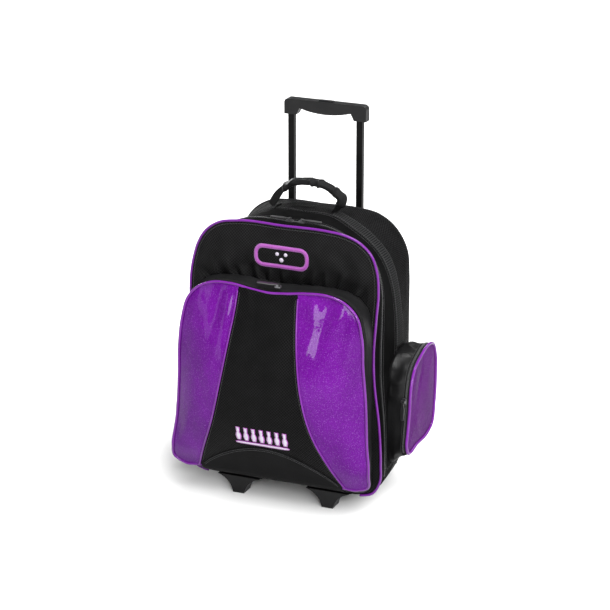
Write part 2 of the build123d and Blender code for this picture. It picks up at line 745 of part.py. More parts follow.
def push_button():
    width, depth = BUTTON
    top = GRIP_TOP_Z + BUTTON_PROUD
    front = GRIP_SPLIT_Y - depth / 2
    button = block(-width / 2, width / 2, front, front + depth, YOKE_TOP_Z, top)
    return fillet(button.edges().group_by(Axis.Z)[-1], 1.2)


def release_yoke():
    """Bar across the inside of the grip that the button presses."""
    low = YOKE_TOP_Z - YOKE_HEIGHT
    return block(-YOKE_HALF, YOKE_HALF, TUBE_Y - 3, TUBE_Y + 3, low, YOKE_TOP_Z)


def release_rod():
    """Rod inside an inner tube, from the yoke down to the lock pin."""
    end = PIN_Z + 17
    return rod_z(TUBE_X, TUBE_Y, end, YOKE_TOP_Z - YOKE_HEIGHT, ROD_RADIUS)


# ---------------------------------------------------------------- carry handle

def carry_handle():
    """Padded arch that folds down either way on the webbing under it."""
    corners = [(x, HANDLE_Y, z) for x, z in HANDLE_PATH]
    path = FilletPolyline(*corners, radius=HANDLE_BENDS)
    start = Plane(origin=path @ 0, x_dir=(0, 1, 0), z_dir=path % 0)
    arch = sweep(start * RectangleRounded(HANDLE_WIDTH, HANDLE_THICKNESS, 2.5), path=path)
    round_end = rod_x(-BEYOND, BEYOND, HANDLE_Y, HANDLE_PIVOT_Z, HANDLE_WIDTH / 2)
    return arch - (block(-BEYOND, BEYOND, 0, BACK_Y, 0, HANDLE_PIVOT_Z) - round_end)


# ---------------------------------------------------------------- sliders and pulls

def slider():
    """Zip slider along X on the XY plane, with a cross bar for its pull."""
    base = Pos(0, 0, SLIDER_BASE / 2) * Box(SLIDER_LENGTH, SLIDER_WIDTH, SLIDER_BASE)
    base = fillet(base.edges().filter_by(Axis.Z), 2.5)
    height = SLIDER_BASE + BAR_HEIGHT
    lug_y = SLIDER_WIDTH / 2 - 0.6
    for side in (-1, 1):
        base += Pos(0, side * lug_y, SLIDER_BASE + LUG_HEIGHT / 2) * Box(4.6, 1.2, LUG_HEIGHT)
    return base + rod_y(0, -lug_y, lug_y, height, BAR_RADIUS)


def pull(length):
    """Leaf-shaped pull that lies along +X, with an eye round the slider's cross bar."""
    height = SLIDER_BASE + BAR_HEIGHT
    half = PULL_THICKNESS / 2
    tip = length - PULL_WIDTH / 2
    eye = rod_y(0, -2.7, 2.7, height, PULL_EYE_RADIUS)
    neck = block(0.5, 9, -2.7, 2.7, height - half, height + half)
    leaf = make_face(Polyline((8, -2.7), (16, -PULL_WIDTH / 2), (tip, -3.4), (tip, 3.4),
                              (16, PULL_WIDTH / 2), (8, 2.7), close=True))
    leaf += Pos(tip, 0) * Circle(3.4)
    blade = Pos(0, 0, height - half) * extrude(leaf, amount=PULL_THICKNESS)
    return eye + neck + blade - rod_y(0, -5, 5, height, PULL_EYE_BORE)


def pocket_slider_place():
    """Slider on top of the front pocket's zip."""
    share = (POCKET_ZIP_Y - POCKET_BACK_Y) / (POCKET_PIPING_Y - POCKET_BACK_Y)
    top = mix(POCKET_BACK["high"], POCKET_FRONT["high"], share)
    return Pos(POCKET_SLIDER_X, POCKET_ZIP_Y + 1.0, top + 1.3) * Rot(0, 0, 180)


def side_edge_point(x, part_way):
    """Point on the straight front edge of a side pocket, from its bottom (0) to its top (1)."""
    share = side_share(x)
    low, high = [], []
    for index in (0, 1):
        low.append(mix(SIDE_ROOT[0][index], SIDE_RIM[0][index], share))
        high.append(mix(SIDE_ROOT[1][index], SIDE_RIM[1][index], share))
    return Vector(x, mix(low[0], high[0], part_way), mix(low[1], high[1], part_way))


def side_slider_place():
    """Slider on the front edge of a side pocket's zip, with its pull hanging down."""
    bottom = side_edge_point(SIDE_SLIDER_X, 0)
    top = side_edge_point(SIDE_SLIDER_X, 1)
    part_way = (SIDE_SLIDER_Z - bottom.Z) / (top.Z - bottom.Z)
    seat = side_edge_point(SIDE_SLIDER_X, part_way)
    across = side_edge_point(SIDE_PANEL_X, part_way) - seat
    down = bottom - top
    return Plane(origin=seat, x_dir=down, z_dir=down.cross(across)) * Pos(0, 0, 1.6)


# ---------------------------------------------------------------- assembly

def group(*shapes):
    """Several separate solids in one node."""
    solids = []
    for shape in shapes:
        solids.extend(shape.solids())
    return Compound(children=solids)


def twins(shape):
    """A piece and its twin on the other side of the bag, in one node."""
    return group(shape, other_side(shape))


def shell_nodes():
    """The bag itself, which everything else is sewn or screwed to."""
    tape_start = ZIP_Y + ZIP_GAP
    tape = zip_tape(tape_start, ZIP_Y + ZIP_HALF_WIDTH, tape_start, tape_start + 2.5, ZIP_END_Z - 2)
    return {
        "zip_gusset": without(zip_gusset(), foot_screws()),
        "rear_gusset": rear_gusset(),
        "back_panel": back_panel(),
        "back_board": back_board(),
        "base_plate": without(base_plate(), foot_screws()),
        "ball_cup": without(ball_cup(), foot_screws()),
        "zip_tape_rear": tape,
        "webbing_straps": group(handle_strap(), ribbed_strap(), other_side(ribbed_strap())),
        "side_gussets": twins(side_gusset()),
        "side_zips": twins(side_zip()),
    }


def base_nodes():
    """What carries the bag, and the frame of its trolley handle."""
    return {
        "feet": twins(foot()),
        "wheel_housings": twins(wheel_housing()),
        "axles": twins(axle()),
        "outer_tubes": twins(outer_tube()),
        "bezel": bezel(),
        "bottom_bracket": bottom_bracket(),
        "tube_cover": tube_cover(),
        "frame_screws": group(*foot_screws(), *bezel_screws(), *bracket_screws()),
    }


def lid_nodes():
    """Front of the bag, as far back as the main zip."""
    tape_end = ZIP_Y - ZIP_GAP
    return {
        "front_panel": front_panel(),
        "front_gusset": front_gusset(),
        "zip_tape_front": zip_tape(ZIP_Y - ZIP_HALF_WIDTH, tape_end, tape_end - 2.5, tape_end, ZIP_END_Z),
        "main_piping": main_piping(),
        "badge": group(*badge()),
        "pocket_gusset": pocket_gusset(),
        "pocket_zip": pocket_zip(),
    }


def flap_nodes():
    """Front of the front pocket."""
    shell = crown_shell()
    centre = between_seams(0)
    side = (shell - centre) & block(0, BEYOND, -BEYOND, 0, 0, ABOVE)
    return {
        "pocket_centre_panel": shell & centre,
        "pocket_side_panels": twins(side),
        "flap_band": flap_band(),
        "pocket_piping": cord_along(pocket_face(POCKET_PIPING_Y), PIPING_RADIUS),
        "seam_welts": group(welts()),
        "emblem": group(*emblem()),
    }


def trolley_nodes():
    """Pull-up handle and its release."""
    return {
        "grip_front": grip_half(True),
        "grip_rear": grip_half(False),
        "grip_screws": group(*grip_screws()),
        "inner_tubes": twins(inner_tube()),
        "lock_blocks": twins(lock_block()),
        "push_button": push_button(),
        "release_yoke": release_yoke(),
        "release_rods": twins(release_rod()),
    }


def slider_nodes():
    """Every slider and pull, named by its zip."""
    places = {
        "main_left": Pos(LEFT_SLIDER_X, ZIP_Y, TOP_Z + SLIDER_LIFT) * Rot(0, 0, 180),
        "main_right": Pos(RIGHT_SLIDER_X, ZIP_Y, TOP_Z + SLIDER_LIFT),
        "pocket": pocket_slider_place(),
        "side_right": side_slider_place(),
    }
    nodes = {}
    for name, place in places.items():
        nodes["slider_" + name] = place * slider()
        nodes["pull_" + name] = place * pull(PULL_LENGTHS[name])
    for kind in ("slider", "pull"):
        nodes[kind + "_side_left"] = other_side(nodes[kind + "_side_right"])
    return nodes


def paired_nodes():
    """Pieces of which each side moves by itself."""
    pairs = {
        "side_panel": side_panel(),
        "side_piping": side_piping(),
        "wheel_hub": wheel_hub(),
        "tyre": tyre(),
        "lock_pin": lock_pin(),
    }
    nodes = {}
    for name, shape in pairs.items():
        nodes[name + "_right"] = shape
        nodes[name + "_left"] = other_side(shape)
    return nodes


def main():
    os.makedirs("parts", exist_ok=True)
    nodes = {"carry_handle": carry_handle()}
    for more in (shell_nodes, base_nodes, lid_nodes, flap_nodes, trolley_nodes, slider_nodes, paired_nodes):
        nodes.update(more())
    for name, shape in nodes.items():
        export_step(Pos(0, -FRAME_Y, 0) * shape, f"parts/{name}.step")


main()
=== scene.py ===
import math

import bpy
import numpy as np
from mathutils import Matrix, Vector


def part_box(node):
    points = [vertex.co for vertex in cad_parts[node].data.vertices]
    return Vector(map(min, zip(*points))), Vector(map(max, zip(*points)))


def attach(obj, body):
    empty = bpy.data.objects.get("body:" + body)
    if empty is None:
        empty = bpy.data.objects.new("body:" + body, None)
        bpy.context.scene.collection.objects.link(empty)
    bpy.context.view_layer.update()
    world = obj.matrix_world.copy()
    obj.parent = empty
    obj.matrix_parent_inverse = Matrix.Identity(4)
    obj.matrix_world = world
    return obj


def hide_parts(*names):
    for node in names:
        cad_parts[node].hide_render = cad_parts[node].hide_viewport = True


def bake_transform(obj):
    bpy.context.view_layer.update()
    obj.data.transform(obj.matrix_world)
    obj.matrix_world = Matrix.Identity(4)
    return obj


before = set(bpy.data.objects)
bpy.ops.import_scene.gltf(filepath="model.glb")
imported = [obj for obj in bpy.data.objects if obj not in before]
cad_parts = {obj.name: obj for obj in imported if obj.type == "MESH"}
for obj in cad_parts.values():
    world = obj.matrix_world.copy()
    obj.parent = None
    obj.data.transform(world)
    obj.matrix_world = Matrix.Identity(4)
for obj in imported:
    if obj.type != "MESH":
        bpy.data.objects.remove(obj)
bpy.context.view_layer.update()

# Sizes are in millimetres in the bag's own axes: x 0 in the middle, y 0 at the main piping and
# growing towards the back, z 0 on the floor. The main zip runs at ZIP_Y and starts at the height
# ZIP_LOW, the two side walls meet at SEAM_Y, and the crest and back outlines are at CREST_Y and BACK_Y.
PIPING_LOW, PIPING_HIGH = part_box("main_piping")
SHIFT = 500 * (PIPING_LOW.y + PIPING_HIGH.y)
ZIP_Y = 30.0
ZIP_LOW = 70.0
SEAM_Y = 100.0
CREST_Y = 104.0
BACK_Y = 2 * CREST_Y


def metres(points):
    """Points in the frame's axes, from millimetres in the bag's own."""
    return (np.asarray(points, float) + (0, SHIFT, 0)) / 1000


def smooth(x, a, b):
    """Smooth step from 0 at a to 1 at b."""
    t = np.clip((np.asarray(x, float) - a) / (b - a), 0, 1)
    return t * t * (3 - 2 * t)


def wobble(points, size, seed):
    """Smooth noise from -1 to 1 at each point, with features of about the given size."""
    q = np.asarray(points, float) / size + seed * 13.7
    i = np.floor(q)
    f = q - i
    f = f * f * (3 - 2 * f)
    total = np.zeros(q.shape[:-1])
    for a in (0, 1):
        for b in (0, 1):
            for c in (0, 1):
                corner = i + (a, b, c)
                raw = np.sin(corner @ np.array([127.1, 311.7, 74.7])) * 43758.5453
                value = 2 * (raw - np.floor(raw)) - 1
                weight = 1.0
                for axis, on in enumerate((a, b, c)):
                    weight = weight * (f[..., axis] if on else 1 - f[..., axis])
                total += weight * value
    return total


# ---------------------------------------------------------------- curves

def curve(points, places, closed=False):
    """Points on the smooth curve through the given ones, at places counted in points."""
    p = np.array(points, float)
    n = len(p)
    places = np.asarray(places, float)
    flat = places.ravel()
    if closed:
        i = np.floor(flat).astype(int)
        t = flat - i
        pick = [p[(i + k) % n] for k in (-1, 0, 1, 2)]
    else:
        i = np.clip(np.floor(flat).astype(int), 0, n - 2)
        t = flat - i
        ends = np.vstack([2 * p[0] - p[1], p, 2 * p[-1] - p[-2]])
        pick = [ends[i + 1 + k] for k in (-1, 0, 1, 2)]
    a, b, c, d = pick
    h0, h1, h2 = (np.maximum(np.linalg.norm(v, axis=1), 1e-6)[:, None] for v in (b - a, c - b, d - c))
    m0 = ((b - a) / h0 * h1 + (c - b) / h1 * h0) / (h0 + h1) * h1
    m1 = ((c - b) / h1 * h2 + (d - c) / h2 * h1) / (h1 + h2) * h1
    t = t[:, None]
    out = (2 * t**3 - 3 * t**2 + 1) * b + (t**3 - 2 * t**2 + t) * m0
    out = out + (3 * t**2 - 2 * t**3) * c + (t**3 - t**2) * m1
    return out.reshape(places.shape + (p.shape[1],))


def evenly(points, a, b, n, closed=False):
    """n places along the curve from place a to place b, evenly spaced by length."""
    places = np.linspace(a, b, 1500)
    q = curve(points, places, closed)
    run = np.concatenate([[0], np.cumsum(np.linalg.norm(np.diff(q, axis=0), axis=1))])
    return np.interp(np.linspace(0, run[-1], n), run, places)


def lengths(points):
    """Length along a path at each of its points."""
    return np.concatenate([[0], np.cumsum(np.linalg.norm(np.diff(points, axis=0), axis=1))])


def loop(half, left=None):
    """Closed outline from its right half, which runs from the bottom centre to the top centre."""
    return list(half) + [(-x, z) for x, z in reversed((left or half)[1:-1])]


def patch(bottom, top, left, right):
    """Grid of points between four edges."""
    u = np.linspace(0, 1, len(bottom))[None, :, None]
    v = np.linspace(0, 1, len(left))[:, None, None]
    corners = (1 - u) * (1 - v) * bottom[0] + u * (1 - v) * bottom[-1]
    corners = corners + (1 - u) * v * top[0] + u * v * top[-1]
    return (1 - v) * bottom[None] + v * top[None] + (1 - u) * left[:, None] + u * right[:, None] - corners


def run_along(grid, axis):
    """Length along a grid's rows (axis 1) or columns (axis 0) at each of its points."""
    steps = np.linalg.norm(np.diff(grid, axis=axis), axis=2)
    return np.insert(np.cumsum(steps, axis=axis), 0, 0, axis=axis)


# ---------------------------------------------------------------- meshes


def mesh_object(name, verts, faces, body, finish, uv=None, thick=0.0, slot=None, hides=()):
    """Mesh from points in millimetres, carried by a CAD body unless that is None."""
    data = bpy.data.meshes.new(name)
    data.from_pydata(metres(verts).tolist(), [], faces.tolist() if hasattr(faces, "tolist") else faces)
    if uv is not None:
        layer = data.uv_layers.new(name="cloth")
        layer.data.foreach_set("uv", (np.asarray(uv, float) / 1000).astype(np.float32).ravel())
    data.polygons.foreach_set("use_smooth", [True] * len(data.polygons))
    data.validate()
    obj = bpy.data.objects.new(name, data)
    bpy.context.scene.collection.objects.link(obj)
    data.materials.append(MATERIALS[finish])
    if thick:
        wall = obj.modifiers.new("wall", "SOLIDIFY")
        wall.thickness = thick / 1000
        wall.offset = -1
    if body:
        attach(obj, body)
    if hides:
        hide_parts(*hides)
    return obj


def join(piece):
    """Piece that spans a joint, left on no body, with its transform baked into its mesh."""
    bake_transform(piece)


def grid_faces(rows, columns, wrap=False):
    j, i = np.meshgrid(np.arange(rows - 1), np.arange(columns if wrap else columns - 1), indexing="ij")
    k, low, high = (i + 1) % columns, j * columns, (j + 1) * columns
    return np.stack([low + i, low + k, high + k, high + i], -1).reshape(-1, 4)


def sheet_mesh(name, grid, body, finish, uv=None, wrap=False, thick=1.4, keep=None, flip=False, **more):
    """Cloth surface from a grid of points; a wrapped grid joins its last column to its first."""
    rows, columns = grid.shape[:2]
    faces = grid_faces(rows, columns, wrap)
    if uv is None:
        uv = np.stack([run_along(grid, 1), run_along(grid, 0)], -1)
    flat_uv = uv.reshape(-1, 2)
    face_uv = flat_uv[faces]
    if wrap:
        last = faces[:, 0] % columns == columns - 1
        step = flat_uv[1] - flat_uv[0]
        for corner in (1, 2):
            face_uv[last, corner] = face_uv[last, 3 if corner == 2 else 0] + (np.linalg.norm(step), 0)
    verts = grid.reshape(-1, 3)
    if keep is not None:
        chosen = keep(verts[faces].mean(1))
        faces, face_uv = faces[chosen], face_uv[chosen]
        used, index = np.unique(faces, return_inverse=True)
        verts, faces = verts[used], index.reshape(faces.shape)
    if flip:
        faces, face_uv = faces[:, ::-1], face_uv[:, ::-1]
    return mesh_object(name, verts, faces, body, finish, face_uv, thick, **more)


def grid_normals(grid):
    du, dv = np.gradient(grid, axis=1), np.gradient(grid, axis=0)
    n = np.cross(du, dv)
    return n / np.maximum(np.linalg.norm(n, axis=-1, keepdims=True), 1e-9)


def frames_along(path, closed=False, up=(0, -1, 0)):
    """Direction, side and up vectors at each point of a path."""
    ahead = np.roll(path, -1, 0) if closed else np.vstack([path[1:], 2 * path[-1] - path[-2]])
    behind = np.roll(path, 1, 0) if closed else np.vstack([2 * path[0] - path[1], path[:-1]])
    t = ahead - behind
    t /= np.linalg.norm(t, axis=1)[:, None]
    up = np.broadcast_to(np.asarray(up, float), path.shape)
    n = up - (up * t).sum(1)[:, None] * t
    n /= np.maximum(np.linalg.norm(n, axis=1), 1e-9)[:, None]
    return t, np.cross(t, n), n


def ring_mesh(name, rings, path, body, finish, closed=False, girth_row=0, **more):
    """Skin over rings of points along a path, with its ends joined or capped."""
    rows, columns = rings.shape[:2]
    run = lengths(path)
    girth = lengths(np.vstack([rings[girth_row], rings[girth_row][:1]]))
    faces = grid_faces(rows, columns, True)
    uv = np.stack([np.repeat(run, columns), np.tile(girth[:-1], rows)], 1)[faces]
    uv[faces[:, 0] % columns == columns - 1, 1:3, 1] = girth[-1]
    last = (rows - 1) * columns
    if closed:
        ends = [[last + i, last + (i + 1) % columns, (i + 1) % columns, i] for i in range(columns)]
        end_uv = [[run[-1], girth[i]] for i in range(columns) for _ in range(4)]
    else:
        ends = [list(range(columns))[::-1], list(range(last, last + columns))]
        end_uv = [[run[i // columns], girth[i % columns]] for cap in ends for i in cap]
    uv = np.vstack([uv.reshape(-1, 2), end_uv])
    return mesh_object(name, rings.reshape(-1, 3), faces.tolist() + ends, body, finish, uv, **more)


def ring_shape(sides, width=1.0, height=1.0):
    """Points round an ellipse."""
    angle = np.linspace(0, 2 * math.pi, sides, endpoint=False)
    return np.stack([width * np.cos(angle), height * np.sin(angle)], 1)


def tube(name, path, radius, body, finish, closed=False, up=(0, -1, 0), section=ring_shape(12), **more):
    """Cord along a path, round unless another section is given."""
    side, n = frames_along(path, closed, up)[1:]
    rings = path[:, None] + radius * (section[:, :1] * side[:, None] + section[:, 1:] * n[:, None])
    return ring_mesh(name, rings, path, body, finish, closed, **more)


def bead(length, width, height):
    """Small rounded bar, lying along its first axis."""
    rings = []
    for x, r in ((-0.5, 0.45), (-0.36, 0.9), (0.0, 1.0), (0.36, 0.9), (0.5, 0.45)):
        for k in range(6):
            a = 2 * math.pi * k / 6
            rings.append((x * length, 0.5 * width * r * math.cos(a), 0.5 * height * r * math.sin(a)))
    faces = [tuple(f) for f in grid_faces(5, 6, True).tolist()]
    return np.array(rings), faces, [tuple(range(6))[::-1], tuple(range(24, 30))]


def scatter(name, part, spots, axes, body, finish, **more):
    """Copies of a small part, one at each spot, turned to its three axes."""
    base, quads, caps = part
    verts = spots[:, None] + sum(base[None, :, k : k + 1] * axes[k][:, None] for k in range(3))
    step = np.arange(len(spots))[:, None, None] * len(base)
    faces = (np.array(quads)[None] + step).reshape(-1, 4).tolist()
    faces += (np.array(caps)[None] + step).reshape(-1, 6).tolist()
    return mesh_object(name, verts.reshape(-1, 3), faces, body, finish, None, **more)


def spots_along(path, up, first, pitch, spare):
    """Evenly spaced points of a path, which ends a little early, and their three directions."""
    run = lengths(path)
    goal = np.arange(first, run[-1] - spare, pitch)
    both = np.hstack([path, np.broadcast_to(np.asarray(up, float), path.shape)])
    mixed = np.stack([np.interp(goal, run, both[:, k]) for k in range(6)], 1)
    return mixed[:, :3], frames_along(mixed[:, :3], up=mixed[:, 3:])


def stitches(name, path, up, body, finish="stitch_black", **more):
    """Row of thread stitches along a path on a surface whose outward direction is up."""
    pitch, lift = 3.4, 0.15
    spots, (t, side, n) = spots_along(path, up, pitch, pitch, pitch / 2)
    scatter(name, bead(2.5, 0.8, 0.55), spots + lift * n, (t, side, n), body, finish, **more)


def zip_teeth(name, path, up, side_sign, body):
    """One side of a coil zip: short bars across the path that reach a little over its middle."""
    pitch, reach, lift = 2.1, 1.0, 0.3
    spots, (t, side, n) = spots_along(path, up, pitch * (1 if side_sign > 0 else 1.5), pitch, pitch)
    middle = spots + side_sign * reach * side + lift * n
    scatter(name, bead(2.7, 1.35, 1.5), middle, (side, t, n), body, "teeth_black")


# ---------------------------------------------------------------- materials

class Paint:
    """A material's node tree, built up in short calls."""

    def __init__(self, name, color, roughness, **sockets):
        self.material = bpy.data.materials.new(name)
        self.material.use_nodes = True
        self.tree = self.material.node_tree
        self.shader = self.tree.nodes["Principled BSDF"]
        self.set(**{"Base Color": (*color, 1), "Roughness": roughness})
        self.set(**{key.replace("_", " "): value for key, value in sockets.items()})

    def set(self, **sockets):
        for key, value in sockets.items():
            self.shader.inputs[key].default_value = value

    def node(self, kind, links=(), values=(), **options):
        made = self.tree.nodes.new("ShaderNode" + kind)
        for key, value in options.items():
            setattr(made, key, value)
        for key, value in dict(values).items():
            made.inputs[key].default_value = value
        for key, source in dict(links).items():
            self.tree.links.new(source, made.inputs[key])
        return made

    def math(self, operation, a, b=0.0, c=None):
        made = self.node("Math", operation=operation)
        for index, value in enumerate((a, b) if c is None else (a, b, c)):
            if isinstance(value, (int, float)):
                made.inputs[index].default_value = value
            else:
                self.tree.links.new(value, made.inputs[index])
        return made.outputs[0]

    def uv(self):
        parts = self.node("SeparateXYZ", {0: self.node("UVMap", uv_map="cloth").outputs[0]})
        return parts.outputs[0], parts.outputs[1]

    def place(self):
        return self.node("TexCoord").outputs["Object"]

    def noise(self, scale, detail=3.0, vector=None, rough=0.5):
        values = {"Scale": scale, "Detail": detail, "Roughness": rough}
        return self.node("TexNoise", {"Vector": vector or self.place()}, values).outputs[0]

    def wave(self, x, pitch):
        """|sin| ridges across x, one for each pitch, from 0 to 1."""
        return self.math("ABSOLUTE", self.math("SINE", self.math("MULTIPLY", x, math.pi / pitch)))

    def mix(self, share, a, b):
        made = self.node("Mix", data_type="RGBA")
        for key, value in ((6, a), (7, b)):
            if isinstance(value, tuple):
                made.inputs[key].default_value = (*value, 1)
            else:
                self.tree.links.new(value, made.inputs[key])
        self.tree.links.new(share, made.inputs[0])
        return made.outputs[2]

    def ramp(self, x, low, high, a=0.0, b=1.0):
        return self.node("MapRange", {0: x}, {1: low, 2: high, 3: a, 4: b}).outputs[0]

    def paint(self, color):
        self.tree.links.new(color, self.shader.inputs["Base Color"])

    def gloss(self, value):
        self.tree.links.new(value, self.shader.inputs["Roughness"])

    def bump(self, height, distance, strength=1.0, coat=False):
        """Relief from a height of 0 to 1, with its full height in millimetres."""
        made = self.node("Bump", {"Height": height}, {"Strength": strength, "Distance": distance / 1000})
        self.tree.links.new(made.outputs[0], self.shader.inputs["Normal"])
        if coat:
            self.tree.links.new(made.outputs[0], self.shader.inputs["Coat Normal"])
        return made.outputs[0]


def threads(paint, u, v, pitch):
    """Height of a plain weave: threads that pass over and under each other."""
    over = paint.math("SINE", paint.math("MULTIPLY", u, math.pi / pitch))
    under = paint.math("SINE", paint.math("MULTIPLY", v, math.pi / pitch))
    product = paint.math("MULTIPLY", over, under)
    return paint.math("MULTIPLY_ADD", product, 0.5, 0.5)


def dobby_cloth(name, dark, light, pitch, shine, level):
    """Nylon with a lattice of raised diamonds."""
    p = Paint(name, dark, 0.46, IOR=shine, Specular_IOR_Level=level)
    u, v = p.uv()
    a = p.wave(p.math("ADD", u, v), pitch)
    b = p.wave(p.math("SUBTRACT", u, v), pitch)
    cell = p.math("MINIMUM", a, b)
    line = p.ramp(cell, 0.06, 0.34, 1.0, 0.0)
    fine = threads(p, u, v, 0.00055)
    patchy = p.noise(35)
    p.paint(p.mix(p.math("MULTIPLY", line, p.ramp(patchy, 0.3, 0.7, 0.6, 1.0)), dark, light))
    p.gloss(p.ramp(line, 0, 1, 0.46, 0.34))
    height = p.math("ADD", p.math("MULTIPLY", line, 0.75), p.math("MULTIPLY", fine, 0.25))
    p.bump(height, 0.35, 0.8)
    return p.material


def plain_cloth(name, dark, light, roughness=0.5, relief=0.12, shine=1.05, level=0.5):
    """Plain close-woven nylon."""
    p = Paint(name, dark, roughness, IOR=shine, Specular_IOR_Level=level)
    u, v = p.uv()
    fine = threads(p, u, v, 0.0007)
    cloud = p.noise(22)
    p.paint(p.mix(p.math("MULTIPLY", fine, p.ramp(cloud, 0.35, 0.7, 0.4, 1.0)), dark, light))
    p.gloss(p.ramp(cloud, 0.3, 0.7, roughness - 0.06, roughness + 0.08))
    grain = p.math("ADD", p.math("MULTIPLY", fine, 0.55), p.math("MULTIPLY", p.noise(900, 2.0), 0.45))
    p.bump(grain, relief, 0.7)
    return p.material


def glitter_vinyl(name, deep, bright, coat, metal, level):
    """Clear glossy vinyl over a coloured base with fine metal flakes."""
    p = Paint(name, deep, 0.4, Metallic=metal, Specular_IOR_Level=level, IOR=1.1, Coat_Weight=coat,
              Coat_Roughness=0.05, Coat_IOR=1.27)
    fine = p.node("TexVoronoi", {"Vector": p.place()}, {"Scale": 2400.0})
    coarse = p.node("TexVoronoi", {"Vector": p.place()}, {"Scale": 1100.0})
    spark = p.ramp(p.node("SeparateColor", {0: fine.outputs["Color"]}).outputs[0], 0.45, 1.0)
    rare = p.ramp(p.node("SeparateColor", {0: coarse.outputs["Color"]}).outputs[1], 0.9, 1.0)
    cloud = p.ramp(p.noise(14), 0.35, 0.7, 0.0, 0.35)
    shade = p.mix(p.math("ADD", p.math("MULTIPLY", spark, 0.55), cloud), deep, bright)
    p.paint(p.mix(p.math("MULTIPLY", rare, 0.25), shade, (0.30, 0.12, 0.42)))
    p.gloss(p.ramp(spark, 0, 1, 0.5, 0.25))
    tilt = p.node("VectorMath", {0: fine.outputs["Color"]}, {1: (0.5, 0.5, 0.5)}, operation="SUBTRACT")
    lean = p.node("VectorMath", {0: tilt.outputs[0]}, operation="SCALE")
    lean.inputs["Scale"].default_value = 0.35
    normal = p.node("NewGeometry").outputs["Normal"]
    add = p.node("VectorMath", {0: lean.outputs[0], 1: normal}, operation="ADD")
    unit = p.node("VectorMath", {0: add.outputs[0]}, operation="NORMALIZE")
    p.tree.links.new(unit.outputs[0], p.shader.inputs["Normal"])
    ripple = p.node("Bump", {"Height": p.noise(120, 2.0)}, {"Strength": 0.25, "Distance": 0.0004})
    p.tree.links.new(ripple.outputs[0], p.shader.inputs["Coat Normal"])
    return p.material


def soft_plastic(name, color, roughness, grain=900.0, relief=0.05, wear=0.35, **more):
    """Moulded plastic, rubber or painted metal with a fine grain and rubbed patches."""
    p = Paint(name, color, roughness, **more)
    rub = p.ramp(p.noise(28, 5.0, rough=0.65), 0.45, 0.75)
    lighter = tuple(min(1.0, c * 1.7 + 0.006) for c in color)
    p.paint(p.mix(p.math("MULTIPLY", rub, wear), color, lighter))
    p.gloss(p.ramp(rub, 0, 1, roughness, min(1.0, roughness + 0.15)))
    p.bump(p.noise(grain, 3.0), relief, 0.6)
    return p.material


def ribbed(name, dark, light, pitch, relief, roughness=0.6, along=True):
    """Webbing or tape with ribs across or along its length and a fine weave."""
    p = Paint(name, dark, roughness, IOR=1.06, Specular_IOR_Level=0.2)
    u, v = p.uv()
    rib = p.wave(u if along else v, pitch)
    fine = threads(p, u, v, 0.0006)
    p.paint(p.mix(rib, dark, light))
    p.bump(p.math("ADD", p.math("MULTIPLY", rib, 0.8), p.math("MULTIPLY", fine, 0.2)), relief, 0.9)
    return p.material


def thread_paint(name, dark, light):
    """Embroidery thread laid side by side, with a silky gloss."""
    p = Paint(name, dark, 0.38, Sheen_Weight=0.3, Specular_IOR_Level=0.6)
    place = p.node("SeparateXYZ", {0: p.place()})
    slant = p.math("MULTIPLY_ADD", place.outputs[2], 0.35, place.outputs[0])
    lay = p.wave(slant, 0.0009)
    p.paint(p.mix(p.math("MULTIPLY", lay, p.ramp(p.noise(300), 0.3, 0.7, 0.5, 1.0)), dark, light))
    p.bump(lay, 0.2, 0.8)
    return p.material


MATERIALS = {}


def add_finish(kind, name, *values, **options):
    MATERIALS[name] = kind(name, *values, **options)


add_finish(dobby_cloth, "dobby_black", (0.0014, 0.0014, 0.0014), (0.0190, 0.0190, 0.0197), 0.0062, 1.06, 0.1)
add_finish(dobby_cloth, "dobby_front", (0.0004, 0.0004, 0.0004), (0.0175, 0.0175, 0.0182), 0.0062, 1.2, 0.2)
# Painted shade: a darker copy of the front dobby for the pocket's centre panel, its colours lowered to stand
# in for the shade that panel lies in.
add_finish(dobby_cloth, "dobby_centre_shaded", (0.0003, 0.0003, 0.0003), (0.0115, 0.0115, 0.0120), 0.0062, 1.2, 0.15)
add_finish(plain_cloth, "nylon_black", (0.0020, 0.0020, 0.0021), (0.0060, 0.0060, 0.0062), 0.38, 0.08, 1.2)
add_finish(plain_cloth, "wrap_black", (0.0030, 0.0030, 0.0031), (0.0100, 0.0100, 0.0103), 0.45, 0.10, 1.12)
add_finish(plain_cloth, "plain_black", (0.0014, 0.0014, 0.0014), (0.0048, 0.0048, 0.0050), level=0.1)
add_finish(plain_cloth, "base_black", (0.004, 0.004, 0.0041), (0.008, 0.008, 0.0082), 0.42, 0.06)
add_finish(glitter_vinyl, "vinyl_purple", (0.041, 0.0013, 0.078), (0.088, 0.0040, 0.160), 0.5, 0.10, 0.2)
# Painted shade: the same purple vinyl for the side pockets, with darker colours standing in for the shade on
# the side faces, and a thinner coat.
add_finish(glitter_vinyl, "vinyl_side", (0.026, 0.0013, 0.043), (0.060, 0.004, 0.092), 0.12, 0.0, 0.05)
add_finish(soft_plastic, "piping_purple", (0.070, 0.006, 0.115), 0.3, 300.0, 0.03, 0.3, IOR=1.2,
           Coat_Weight=0.6, Coat_Roughness=0.14, Coat_IOR=1.36)
add_finish(soft_plastic, "moulded_black", (0.004, 0.004, 0.0042), 0.40, 700.0, 0.10, IOR=1.25)
add_finish(soft_plastic, "board_black", (0.02, 0.02, 0.021), 0.6)
add_finish(soft_plastic, "foam_grey", (0.10, 0.10, 0.105), 0.9, 500.0, 0.3)
add_finish(ribbed, "webbing_black", (0.0008, 0.0008, 0.0008), (0.015, 0.0152, 0.0155), 0.0046, 0.6)
add_finish(ribbed, "zip_black", (0.003, 0.003, 0.0032), (0.012, 0.012, 0.0123), 0.0019, 0.3, 0.55, False)
add_finish(soft_plastic, "teeth_black", (0.020, 0.020, 0.021), 0.3, 200.0, 0.02)
add_finish(soft_plastic, "slider_black", (0.10, 0.10, 0.105), 0.28, 400.0, 0.03, 0.6, Metallic=0.85)
